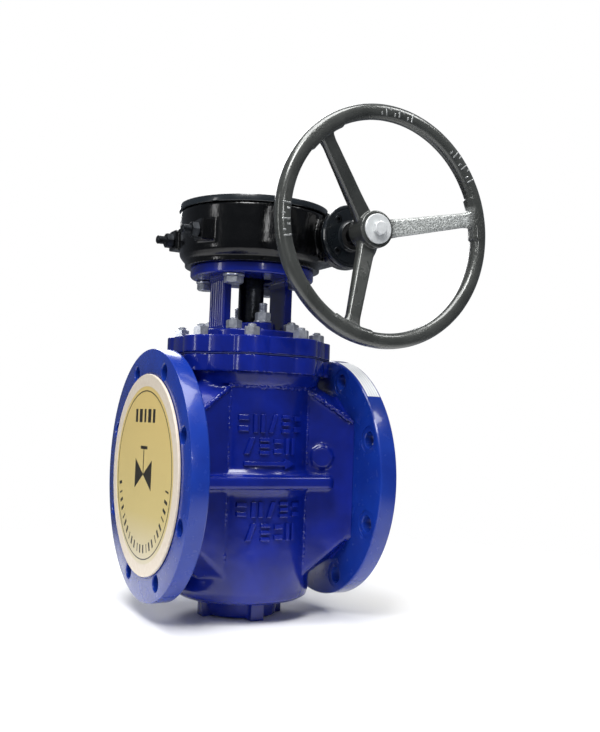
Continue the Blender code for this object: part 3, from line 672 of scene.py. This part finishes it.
foot_profile = [
    (0.0333, 0.3833), (0.0740, 0.3833), (0.0750, 0.3845), (0.0750, 0.3935), (0.0740, 0.3947),
    (0.0333, 0.3947), (0.0333, 0.3833),
]
top_profile = [
    (0.030, 0.4695), (0.0860, 0.4695), (0.0880, 0.4715), (0.0880, 0.4842), (0.030, 0.4842), (0.030, 0.4695)
]
yoke_forms = [
    spun(foot_profile, steps=96),
    spun(top_profile, steps=96),
]
for side in (-1, 1):
    near, far = sorted((side * 0.0415, side * 0.0515))
    yoke_forms.append(slab((near, -0.0257, 0.389), (far, 0.0257, 0.474)))
    for rib_y in (-0.0237, -0.0158, -0.0079, 0, 0.0079, 0.0158, 0.0237):
        yoke_forms.append(rod(0.0026, 0.389, 0.474, (side * 0.0511, rib_y), sides=16))
    near, far = sorted((side * 0.0400, side * 0.0538))
    for foot_low, foot_high in ((0.3935, 0.3985), (0.4660, 0.4705)):
        yoke_forms.append(slab((near, -0.0270, foot_low), (far, 0.0270, foot_high)))
yoke = as_cast(gathered(*yoke_forms), 0.0011, 3, lumps=0.0003)
mount_spots = [(-0.0495, -0.0495), (0.0495, -0.0495), (0.0495, 0.0495), (-0.0495, 0.0495)]
mount_hole = 0.0083
yoke_bores = [rod(stud_hole, 0.37, 0.40, spot, sides=20) for spot in yoke_spots + gland_spots]
yoke_bores += [rod(mount_hole, 0.46, 0.49, spot, sides=24) for spot in mount_spots]
cut(yoke, gathered(*yoke_bores))
fitted(yoke, "yoke_casting", cast_blue, "valve_body", "blue_enamel", "yoke")

# ---------------------------------------------------------------------------------------------------------
# Studs, nuts and bolts. Zinc plated steel: M12 studs with 19 mm nuts round the bonnet, at the foot of the
# yoke and on the gland, and four M16 bolts with 24 mm heads that reach up into the gearbox over washers.

zinc = metal("bright_zinc_plate", "#d8dbe0", "#b4b8c1", 0.30, 0.006, 0.0010, 0.00003, metallic=0.8)


def hexagon(flats, low, high, axis="Z", across=(0, 0)):
    """A nut or bolt head: a hexagon whose corners are turned off at 30 degrees."""
    corner = flats / math.sqrt(3)
    drop = (corner - flats * 0.475) * math.tan(math.radians(30))
    item = rod(corner, low, high, across, axis, 6)
    outline = [(0, high), (flats * 0.475, high), (corner * 1.001, high - drop)]
    outline += [(corner * 1.001, low + drop), (flats * 0.475, low), (0, low)]
    return combined(item, "INTERSECT", [spun(outline, axis, across, 48)])


def thread(radius, low, high, pitch):
    """The outline of a threaded length, upwards, with a chamfered end."""
    points = []
    z = low
    while z < high - 0.0014 - pitch:
        points += [(radius, z), (radius - pitch * 0.5, z + pitch / 2)]
        z += pitch
    return [*points, (radius, z), (radius, high - 0.0013), (radius - 0.0016, high), (0, high)]


def nut_on_stud(low, seat, top, washer=False):
    nut_low = seat + (0.0028 if washer else 0.0003)
    outline = [(0, low), (0.0050, low), (0.0060, low + 0.001), (0.0060, seat)]
    item = spun(outline + thread(0.0060, nut_low + 0.0105, top, 0.00175), steps=24)
    welded(item, hexagon(0.019, nut_low, nut_low + 0.012))
    if washer:
        plain = [
            (0, seat + 0.0003), (0.0120, seat + 0.0003), (0.0125, seat + 0.0008), (0.0125, seat + 0.0026)
        ]
        welded(item, spun([*plain, (0.0120, seat + 0.0031), (0, seat + 0.0031)], steps=40))
    return item


def set_round(pattern, spots, name, node):
    """A copy of one fastener at each spot, each left at its own angle as it was tightened."""
    for i, spot in enumerate(spots):
        twin = copied(pattern, (spot[0], spot[1], 0), lumps.uniform(0, math.pi / 3))
        fitted(
            twin, f"{name}_{i + 1}", zinc, "valve_body", "zinc_steel", f"{node}_{i + 1}", smooth_below=25
        )
    bpy.data.objects.remove(pattern)


set_round(nut_on_stud(0.3360, 0.3830, 0.3990), stud_spots, "bonnet_nut", "bonnet_stud")
set_round(nut_on_stud(0.3665, 0.3945, 0.4100), yoke_spots, "yoke_nut", "yoke_stud")
set_round(nut_on_stud(0.3840, 0.4060, 0.4340, washer=True), gland_spots, "gland_nut", "gland_stud")

bolt = spun([(0, 0.4600), (0.0080, 0.4600), (0.0080, 0.4940), (0.0070, 0.4960), (0, 0.4960)], steps=32)
welded(
    bolt,
    hexagon(0.024, 0.4562, 0.4662),
    spun(
        [(0, 0.4660), (0.0142, 0.4660), (0.0150, 0.4666), (0.0150, 0.4686), (0.0142, 0.4692), (0, 0.4692)],
        steps=48,
    ),
)
set_round(bolt, mount_spots, "mounting_bolt", "actuator_bolt")

# ---------------------------------------------------------------------------------------------------------
# Gearbox. A round iron housing with the worm tube along one side and two bosses for the stop screws, closed
# by a turned cover. Cast, machined on its faces, and painted in glossy black enamel.

gear_black = enamel(
    "black_enamel_on_casting", "#050607", "#020203", 0.20, 0.00008, 0.0006, grain=0.00006, coat=0.25
)
# The lid and the worm caps take a greyer copy of the housing's black: a painted reflection of the sheen on
# their turned rims.
painted_sheen_black = enamel("black_enamel_painted_sheen", "#1c2227", "#101418", 0.28, 0.00005, 0.0002)
worm_at = (0.097, 0.528)
stop_spots = [(-0.050, 0.523), (0.050, 0.523)]
housing_profile = [
    (0, 0.5625), (0.1035, 0.5625), (0.1052, 0.5605), (0.1052, 0.508), (0.1040, 0.4995),
    (0.0995, 0.4935), (0.0964, 0.4915), (0.0964, 0.4840), (0, 0.4840),
]
housing_forms = [
    spun(housing_profile, steps=120),
    rod(0.0337, -0.100, 0.080, worm_at, "Y", 64),
    slab((0.020, -0.078, 0.4952), (0.097, 0.072, 0.5608)),
    rod(0.0442, -0.1069, -0.089, worm_at, "Y", 80),
    rod(0.0400, -0.0895, -0.078, worm_at, "Y", 80, top=0.0345),
    rod(0.0382, 0.074, 0.0884, worm_at, "Y", 64),
]
for stop_y, stop_z in stop_spots:
    housing_forms.append(
        slab((-0.1048, stop_y - 0.0140, stop_z - 0.0135), (-0.068, stop_y + 0.0140, stop_z + 0.0150))
    )
housing = as_cast(gathered(*housing_forms), 0.0016, 4, lumps=0.0004)
housing_bores = [rod(0.0065, -0.12, -0.06, spot, "X", 20) for spot in stop_spots]
housing_bores += [rod(mount_hole, 0.47, 0.4965, spot, sides=24) for spot in mount_spots]
cover_spots = ring(4, 0.0975, 45)
cap_spots = ring(4, 0.031, 45, worm_at)
housing_bores += [rod(0.0033, 0.552, 0.57, spot, sides=16) for spot in cover_spots]
housing_bores += [rod(0.0028, -0.12, -0.094, spot, "Y", 16) for spot in cap_spots]
gear_room = welded(
    rod(0.090, 0.500, 0.60, sides=96),
    rod(0.0248, -0.12, 0.10, worm_at, "Y", 48),
    rod(0.019, 0.47, 0.51, sides=48),
)
cut(housing, gear_room, gathered(*housing_bores))
fitted(housing, "gearbox_casting", gear_black, "valve_body", "black_enamel", "gearbox_housing")

cover = spun(
    [
        (0.0085, 0.5720), (0.0330, 0.5720), (0.0345, 0.5708), (0.0880, 0.5702), (0.0895, 0.5718),
        (0.1055, 0.5720), (0.1066, 0.5716), (0.1070, 0.5706), (0.1070, 0.5638), (0.1062, 0.5628),
        (0.0085, 0.5626), (0.0085, 0.5720),
    ],
    steps=144,
)
ticks = []
for degrees in range(0, 91, 15):
    reach = 0.058 if degrees % 45 == 0 else 0.054
    tick = slab((0.048, -0.0011, 0.5695), (reach, 0.0011, 0.5716))
    tick.rotation_euler = (0, 0, math.radians(degrees))
    ticks.append(settle(tick))
welded(cover, *ticks)
cover_sinks = [rod(0.0033, 0.55, 0.58, spot, sides=16) for spot in cover_spots]
cover_sinks += [rod(0.0058, 0.566, 0.58, spot, sides=32) for spot in cover_spots]
cut(cover, *cover_sinks)
fitted(cover, "gearbox_lid", painted_sheen_black, "valve_body", "black_enamel", "gearbox_cover", smooth_below=25)

# ---------------------------------------------------------------------------------------------------------
# Position indicator and cover screws. The indicator is a black disc keyed to the top of the stem, with a
# raised pointer that passes the ticks on the cover. The screws are black oxide socket screws, set flush.

black_oxide = metal("black_oxide_steel", "#33363a", "#1b1d20", 0.34, 0.010, 0.0010, 0.00003, metallic=0.8)
dial = spun(
    [
        (0, 0.5625), (0.008, 0.5625), (0.008, 0.5725), (0.0290, 0.5725), (0.0300, 0.5733),
        (0.0300, 0.5768), (0.0275, 0.5792), (0.0140, 0.5792), (0.0130, 0.5782), (0, 0.5782),
    ],
    steps=72,
)
pointer = prism(
    [
        (0.010, -0.0040, 0.5740), (0.034, -0.0040, 0.5740), (0.042, 0, 0.5740),
        (0.034, 0.0040, 0.5740), (0.010, 0.0040, 0.5740),
    ],
    (0, 0, 0.0054),
)
welded(dial, eased(pointer, 0.0006))
fitted(
    dial,
    "indicator_disc",
    black_oxide,
    "plug_and_stem",
    "black_steel",
    "position_indicator",
    smooth_below=25,
)


def socket_screw(head_r, face, under, tip, thread_r, flats, axis, across):
    """A socket head screw along an axis, given by its head's face and underside and by its tip."""
    out = 1 if face > under else -1
    edge = 0.0005 * out
    outline = [
        (0, tip), (thread_r, tip), (thread_r, under), (head_r, under), (head_r, face - edge),
        (head_r - 0.0005, face), (0, face),
    ]
    item = spun(outline, axis, across, 32)
    ends = sorted((face + 0.001 * out, face - 0.0026 * out))
    return cut(item, rod(flats / math.sqrt(3), *ends, across, axis, 6))


def blackened(item, name, node):
    """A black oxide piece that is fixed to the body of the valve."""
    return fitted(item, name, black_oxide, "valve_body", "black_steel", node, smooth_below=25)


for i, spot in enumerate(cover_spots):
    screw = socket_screw(0.0055, 0.5715, 0.5663, 0.5525, 0.0030, 0.0040, "Z", spot)
    blackened(screw, f"lid_screw_{i + 1}", f"cover_screw_{i + 1}")

# ---------------------------------------------------------------------------------------------------------
# Worm shaft and its caps. The worm is cut on a dark steel shaft that runs through both end caps. The front
# cap is turned, painted black and held by four socket screws, with a rubber lip seal round the shaft.

dress(stem_steel, "worm_shaft")
front_cap = spun(
    [
        (0.0127, -0.1068), (0.0432, -0.1068), (0.0440, -0.1076), (0.0440, -0.1128),
        (0.0430, -0.1144), (0.0412, -0.1150), (0.0400, -0.1150), (0.0396, -0.1143),
        (0.0380, -0.1143), (0.0376, -0.1150), (0.0222, -0.1150), (0.0204, -0.1160),
        (0.0200, -0.1192), (0.0192, -0.1200), (0.0185, -0.1195), (0.0185, -0.1095),
        (0.0127, -0.1095), (0.0127, -0.1068),
    ],
    "Y",
    worm_at,
    96,
)
cap_bores = [rod(0.0028, -0.13, -0.10, spot, "Y", 16) for spot in cap_spots]
cap_bores += [rod(0.0055, -0.13, -0.1105, spot, "Y", 32) for spot in cap_spots]
cut(front_cap, *cap_bores)
fitted(
    front_cap,
    "worm_cap_front",
    painted_sheen_black,
    "valve_body",
    "black_enamel",
    "worm_front_cap",
    smooth_below=25,
)
rear_cap = spun(
    [
        (0, 0.0883), (0.0375, 0.0883), (0.0380, 0.0888), (0.0380, 0.0925), (0.0340, 0.0953),
        (0.0120, 0.0953), (0.0112, 0.0945), (0, 0.0945),
    ],
    "Y",
    worm_at,
    80,
)
fitted(
    rear_cap, "worm_cap_rear", painted_sheen_black, "valve_body", "black_enamel", "worm_rear_cap", smooth_below=25
)
for i, spot in enumerate(cap_spots):
    screw = socket_screw(0.0050, -0.1152, -0.1108, -0.0945, 0.0025, 0.0045, "Y", spot)
    blackened(screw, f"cap_screw_socket_{i + 1}", f"cap_screw_{i + 1}")

seal_rubber, tree, shader, place = begin("nitrile_seal_rubber")
# Moulded nitrile: near black, dull, with the faint mottling of talc about 4 mm across.
talc = noise(tree, place, 0.004, 4.0)
feed(
    tree,
    shader,
    Base_Color=ramped(tree, talc, (0.4, "#141414"), (0.8, "#2b2b2a")),
    Normal=bumped(tree, talc, 0.00005),
    Roughness=0.65,
)
dress(seal_rubber, "shaft_seal")

# ---------------------------------------------------------------------------------------------------------
# Stop screws. Two black M12 grub screws with lock nuts reach through the housing's bosses to the flats of
# the worm wheel, and set where the valve is shut and where it is open.

for i, (stop_y, stop_z) in enumerate(stop_spots):
    outline = thread(0.0060, 0.060, 0.1278, 0.00175)
    outline = [(0, 0.0403), (0.0045, 0.0403), (0.0060, 0.0420), (0.0060, 0.0600), *outline]
    stop_screw = spun([(radius, -x) for radius, x in outline], "X", (stop_y, stop_z), 24)
    blackened(stop_screw, f"stop_grub_screw_{i + 1}", f"stop_screw_{i + 1}")
    lock = hexagon(0.019, -0.1150, -0.1048, "X", (stop_y, stop_z))
    cut(lock, rod(0.0062, -0.13, -0.09, (stop_y, stop_z), "X", 24))
    blackened(lock, f"stop_lock_nut_{i + 1}", f"stop_nut_{i + 1}")

# ---------------------------------------------------------------------------------------------------------
# Handwheel. An iron casting with three flat spokes that run out and forward to a round rim, thickened where
# each spoke meets it. Painted dark grey over a coarse skin that glints where the sand was rough, with one
# spoke painted pale as its highlight.

wheel_grey, tree, shader, place = begin("grey_paint_on_rough_iron")
# Dark warm grey paint, thin enough to show 2.2 mm sand grains, in patches where the mould was rough.
tone = noise(tree, place, 0.040, 4.0)
where = mapped(tree, noise(tree, place, 0.055, 1.0), 0.15, 1.0, 0.45, 0.65)
# One spoke, which lay at the bottom of the mould, is rough along its whole length, and painted pale along
# it as a highlight.
at = add_node(tree, "ShaderNodeSeparateXYZ", Vector=place)
past_hub = mapped(tree, at.outputs["X"], 0.0, 1.0, 0.120, 0.132)
short_of_rim = mapped(tree, at.outputs["X"], 0.9, 0.0, 0.222, 0.236)
off_centre = reckoned(tree, "ABSOLUTE", reckoned(tree, "SUBTRACT", at.outputs["Z"], 0.546))
on_spoke = mapped(tree, off_centre, 1.3, 0.0, 0.020, 0.026)
spoke_only = reckoned(tree, "MULTIPLY", past_hub, on_spoke)
rougher = reckoned(tree, "MAXIMUM", spoke_only, where)
grains = add_node(tree, "ShaderNodeTexVoronoi", Vector=place, Scale=1 / 0.0022).outputs["Distance"]
# Pale grains mixed in along that spoke: a painted highlight.
painted_spoke_highlight = add_node(
    tree,
    "ShaderNodeMix",
    {"data_type": "RGBA"},
    _0=reckoned(tree, "MULTIPLY", spoke_only, short_of_rim),
    _6=ramped(tree, tone, (0.3, "#3d3f3c"), (0.7, "#50524f")),
    _7=ramped(tree, grains, (0.20, "#8d908c"), (0.70, "#d9dcd9")),
)
feed(
    tree,
    shader,
    Base_Color=painted_spoke_highlight.outputs[2],
    Metallic=0.35,
    Coat_Weight=0.7,
    Coat_Roughness=0.12,
    Roughness=mapped(tree, tone, 0.20, 0.36),
    Normal=bumped(tree, reckoned(tree, "MULTIPLY", grains, rougher), 0.0005),
)

rim_y = -0.200
rim_r = 0.1495
spread = 11.5
section = []
for i in range(33):
    angle = 2 * math.pi * i / 32
    c, s = math.cos(angle), math.sin(angle)
    section.append((math.copysign(abs(c) ** 0.86, c), math.copysign(abs(s) ** 0.86, s)))
hub_profile = [
    (0.0128, -0.1460), (0.0225, -0.1460), (0.0250, -0.1485), (0.0250, -0.1795), (0.0238, -0.1812),
    (0.0128, -0.1812), (0.0128, -0.1460),
]
wheel_forms = [
    spun([(rim_r + 0.0104 * c, rim_y + 0.0103 * s) for c, s in section], "Y", worm_at, 200),
    spun(hub_profile, "Y", worm_at, 72),
]
for degrees in (11, 131, 251):
    angle = math.radians(degrees)
    out = Vector((math.cos(angle), 0, math.sin(angle)))
    side = Vector((-math.sin(angle), 0, math.cos(angle)))
    sections = []
    for reach, y, half, thick in (
        (0.018, -0.1640, 0.0135, 0.0085), (0.040, -0.1702, 0.0120, 0.0078),
        (0.128, -0.1950, 0.0100, 0.0062), (0.147, rim_y, 0.0125, 0.0075),
    ):
        outline = [
            (-1, -0.5), (-0.75, -1), (0.75, -1), (1, -0.5), (1, 0.5), (0.75, 1), (-0.75, 1), (-1, 0.5)
        ]
        middle = Vector((worm_at[0], y, worm_at[1])) + out * reach
        sections.append([middle + side * (half * a) + Vector((0, thick * b, 0)) for a, b in outline])
    wheel_forms.append(lofted(sections))
    sleeve = spun(
        [(rim_r - 0.0010 + 0.0114 * c, rim_y + 0.0008 + 0.0111 * s) for c, s in section],
        "Z",
        steps=12,
        turn=2 * spread,
        first=-degrees - spread,
    )
    sleeve.rotation_euler = TURNS["Y"]
    sleeve.location = (worm_at[0], 0, worm_at[1])
    wheel_forms.append(settle(sleeve))
raised_marks = []
for first_angle, count in ((78, 8), (31, 8), (176, 7)):
    for i in range(count):
        low, high = ((-0.0060, 0.0050), (-0.0060, -0.0012), (0.0004, 0.0050))[i % 3]
        mark = slab((rim_r + low, -0.2105, -0.0012), (rim_r + high, -0.2060, 0.0012))
        mark.rotation_euler = (0, -math.radians(first_angle + 2.6 * i), 0)
        mark.location = (worm_at[0], 0, worm_at[1])
        raised_marks.append(settle(mark))
wheel = as_cast(gathered(*wheel_forms), 0.0011, 3, lumps=0.0003)
wheel_bores = welded(
    rod(0.0128, -0.20, -0.14, worm_at, "Y", 48), slab((0.0937, -0.19, 0.536), (0.1003, -0.14, 0.5438))
)
cut(wheel, wheel_bores)
fitted(wheel, "handwheel_casting", wheel_grey, "handwheel_and_worm", "dark_iron", "handwheel")

# Raised marks on the rim, in place of cast letters, whose tops are painted pale as a highlight.
painted_highlight_marks = metal("rim_marks_painted_highlight", "#d0d2d0", "#8e908e", 0.28, 0.006, 0.0012, 0.00005, metallic=0.7)
fitted(as_cast(gathered(*raised_marks), 0.0006, 2), "rim_marks", painted_highlight_marks, "handwheel_and_worm", "dark_iron")

# The wheel is held on its key by a pale zinc washer and a 17 mm bolt in the end of the shaft.
pale_zinc = metal(
    "passivated_zinc_washer", "#eceeee", "#d9dcdc", 0.42, 0.010, 0.0010, 0.00002, metallic=0.25
)
washer = spun(
    [
        (0.0055, -0.1814), (0.0196, -0.1814), (0.0200, -0.1819), (0.0200, -0.1836),
        (0.0192, -0.1843), (0.0055, -0.1843), (0.0055, -0.1814),
    ],
    "Y",
    worm_at,
    72,
)
fitted(washer, "wheel_washer", pale_zinc, "handwheel_and_worm", "zinc_steel", "hub_washer", smooth_below=25)
end_bolt = spun([(0, -0.1585), (0.005, -0.1585), (0.005, -0.1860), (0, -0.1860)], "Y", worm_at, 32)
welded(end_bolt, hexagon(0.017, -0.1914, -0.1847, "Y", worm_at))
fitted(end_bolt, "wheel_bolt", pale_zinc, "handwheel_and_worm", "zinc_steel", "hub_bolt", smooth_below=25)

# ---------------------------------------------------------------------------------------------------------
# Protective discs. Gold lacquered board with a pale rim, pressed into each pipe flange until the valve is
# fitted. Each is printed with a plain ring, a bow-tie valve symbol and short bars. Their own lettering is
# left out.

gold, tree, shader, place = begin("gold_lacquered_board")
# Gold lacquer on board with a warm metallic sheen, its colour greying towards the bottom as a painted
# sheen, with a paper grain of 1 mm.
height = add_node(tree, "ShaderNodeSeparateXYZ", Vector=place).outputs["Z"]
painted_sheen_fade = mapped(tree, height, 0.0, 1.0, 0.065, 0.320)
grain = noise(tree, place, 0.001, 3.0)
feed(
    tree,
    shader,
    Base_Color=ramped(tree, painted_sheen_fade, (0.0, "#dcd3bb"), (0.30, "#e0cc88"), (1.0, "#f0d384")),
    Metallic=0.15,
    Normal=bumped(tree, grain, 0.00002),
    Roughness=mapped(tree, grain, 0.25, 0.38),
)

pale_board, tree, shader, place = begin("pale_board_rim")
# The bare board shows as a satin beige rim with soft fibres about 6 mm long.
fibres = noise(tree, place, 0.006, 5.0)
feed(
    tree,
    shader,
    Base_Color=ramped(tree, fibres, (0.3, "#e0d2be"), (0.7, "#e8dccb")),
    Normal=bumped(tree, fibres, 0.00003),
    Roughness=0.35,
)

print_ink, tree, shader, place = begin("black_print_ink")
# Screen printed ink: black, slightly glossy, and a little thin where the squeegee skipped.
skips = noise(tree, place, 0.003, 4.0)
feed(tree, shader, Base_Color=ramped(tree, skips, (0.3, "#14130f"), (0.9, "#3a3424")), Roughness=0.35)

for side, name in ((-1, "inlet"), (1, "outlet")):
    disc = spun(
        [
            (0, side * 0.1403), (0.0945, side * 0.1403), (0.0970, side * 0.1462),
            (0.1190, side * 0.1464), (0.1190, side * 0.1497), (0, side * 0.1497),
        ],
        "X",
        (0, pipe_z),
        128,
    )
    fitted(disc, f"{name}_disc", gold, f"{name}_cover", "gold_board", f"{name}_cover", smooth_below=25)
    outline = [
        (0.1186, side * 0.1464), (0.1350, side * 0.1464), (0.1355, side * 0.1469),
        (0.1355, side * 0.1492), (0.1349, side * 0.1499), (0.1190, side * 0.1499),
        (0.1186, side * 0.1494), (0.1186, side * 0.1464),
    ]
    fitted(
        spun(outline, "X", (0, pipe_z), 128),
        f"{name}_disc_rim",
        pale_board,
        f"{name}_cover",
        "gold_board",
        smooth_below=25,
    )
    low, high = sorted((side * 0.1495, side * 0.14985))
    prints = [
        spun(
            [(0.1118, low), (0.1132, low), (0.1132, high), (0.1118, high), (0.1118, low)],
            "X",
            (0, pipe_z),
            128,
        )
    ]
    for way in (-1, 1):
        corners = [(low, way * 0.034, pipe_z + 0.020), (low, way * 0.034, pipe_z - 0.020)]
        prints.append(prism([(low, 0, pipe_z), *corners], (high - low, 0, 0)))
    prints.append(slab((low, -0.0012, pipe_z), (high, 0.0012, pipe_z + 0.034)))
    prints.append(slab((low, -0.014, pipe_z + 0.034), (high, 0.014, pipe_z + 0.038)))
    for i, wide in enumerate((0.009, 0.012, 0.007, 0.012, 0.009)):
        y = -0.036 + 0.018 * i
        prints.append(slab((low, y - wide / 2, pipe_z + 0.070), (high, y + wide / 2, pipe_z + 0.088)))
    for i in range(23):
        tick = slab((low, 0.0935, -0.0022), (high, 0.1045, 0.0022 if i % 3 else 0.0))
        tick.rotation_euler = (math.radians(190 + 160 * i / 22), 0, 0)
        tick.location = (0, 0, pipe_z)
        prints.append(settle(tick))
    fitted(
        gathered(*prints), f"{name}_disc_print", print_ink, f"{name}_cover", "gold_board", smooth_below=25
    )

# ---------------------------------------------------------------------------------------------------------
# Paper label. A blank white tag stuck round the rim of the outlet flange near its top.

label_paper, tree, shader, place = begin("coated_label_paper")
# Coated paper: bright white and satin, with faint grey lines of print every 4 mm that say nothing.
across_flange = add_node(tree, "ShaderNodeSeparateXYZ", Vector=place).outputs["X"]
line = reckoned(tree, "MULTIPLY", reckoned(tree, "PINGPONG", across_flange, 0.002), 500.0)
feed(tree, shader, Base_Color=ramped(tree, line, (0.15, "#c3c8cf"), (0.3, "#f0f1f0")), Roughness=0.45)
label_r = 0.17018
outline = [(flange_r, 0.1242), (label_r, 0.1242), (label_r, 0.1438), (flange_r, 0.1438), (flange_r, 0.1242)]
label = spun(outline, "Z", steps=32, turn=34, first=193)
label.rotation_euler = TURNS["X"]
label.location = (0, 0, pipe_z)
fitted(settle(label), "flange_label", label_paper, "valve_body", "gold_board", smooth_below=25)

# ---------------------------------------------------------------------------------------------------------
# Stage: a pale floor that fades into a white surround, wide soft lights, and the camera.

bpy.ops.object.select_all(action="DESELECT")
bpy.ops.mesh.primitive_circle_add(vertices=96, radius=3.0, fill_type="NGON", location=(0, 0, -0.0004))
floor = bpy.context.object
floor.name = "floor"
floor_white, tree, shader, place = begin("matt_white_floor")
# Matt white board, faintly mottled, that fades out with distance so no edge shows.
mottle = noise(tree, place, 1 / 3, 3.0)
away = add_node(tree, "ShaderNodeVectorMath", {"operation": "LENGTH"}, _0=place)
smooth = {"interpolation_type": "SMOOTHSTEP"}
fading = {"From_Min": 0.25, "From_Max": 1.1, "To_Min": 1.0, "To_Max": 0.0}
solid = add_node(tree, "ShaderNodeMapRange", smooth, Value=away.outputs["Value"], **fading)
feed(
    tree,
    shader,
    Base_Color=ramped(tree, mottle, (0.3, "#f2f2f2"), (0.7, "#f7f7f7")),
    Roughness=0.7,
    Alpha=solid.outputs["Result"],
)
floor.data.materials.append(floor_white)

world = bpy.data.worlds.new("studio")
bpy.context.scene.world = world
world.use_nodes = True
tree = world.node_tree
surround = tree.nodes["Background"]
surround.inputs["Color"].default_value = (0.12, 0.13, 0.15, 1)
seen = add_node(tree, "ShaderNodeBackground", Color=(1, 1, 1, 1), Strength=1.0)
path = add_node(tree, "ShaderNodeLightPath")
both = add_node(
    tree,
    "ShaderNodeMixShader",
    _0=path.outputs["Is Camera Ray"],
    _1=surround.outputs[0],
    _2=seen.outputs[0],
)
tree.links.new(both.outputs[0], tree.nodes["World Output"].inputs["Surface"])


def softbox(name, spot, aim, wide, tall, power):
    """A large soft light at a spot, turned to face a point."""
    data = bpy.data.lights.new(name, "AREA")
    data.shape = "RECTANGLE"
    data.size, data.size_y = wide, tall
    data.energy = power
    lamp = bpy.data.objects.new(name, data)
    bpy.context.scene.collection.objects.link(lamp)
    lamp.location = spot
    lamp.rotation_euler = (Vector(aim) - Vector(spot)).to_track_quat("-Z", "Y").to_euler()


softbox("overhead", (-0.3, -0.4, 2.4), (0, 0, 0.3), 1.6, 1.2, 55)
softbox("key", (-1.2, -1.6, 2.4), (0, 0, 0.3), 1.0, 1.0, 58)
softbox("right", (1.5, -1.2, 2.4), (0, 0, 0.3), 0.7, 0.7, 16)
softbox("front_spot", (-0.30, -2.6, 1.05), (0.1, -0.2, 0.5), 0.30, 0.30, 5)
softbox("left_strip", (-2.3, -0.2, 0.8), (0, 0, 0.35), 0.22, 1.3, 7)
softbox("behind", (0.6, 2.2, 1.6), (0, 0, 0.3), 1.4, 1.2, 26)

lens = bpy.data.cameras.new("camera")
lens.lens = 47.32
lens.sensor_width = 36
camera = bpy.data.objects.new("camera", lens)
bpy.context.scene.collection.objects.link(camera)
camera.location = (-0.5651, -1.2519, 0.2717)
yaw, pitch, roll = (math.radians(a) for a in (27.36, 3.28, 1.97))
turn = Euler((0, 0, -yaw)).to_matrix() @ Euler(
    (math.pi / 2 + pitch, 0, 0)
).to_matrix() @ Euler((0, 0, roll)).to_matrix()
camera.rotation_euler = turn.to_euler()
bpy.context.scene.camera = camera
bpy.context.scene.view_settings.view_transform = "Standard"
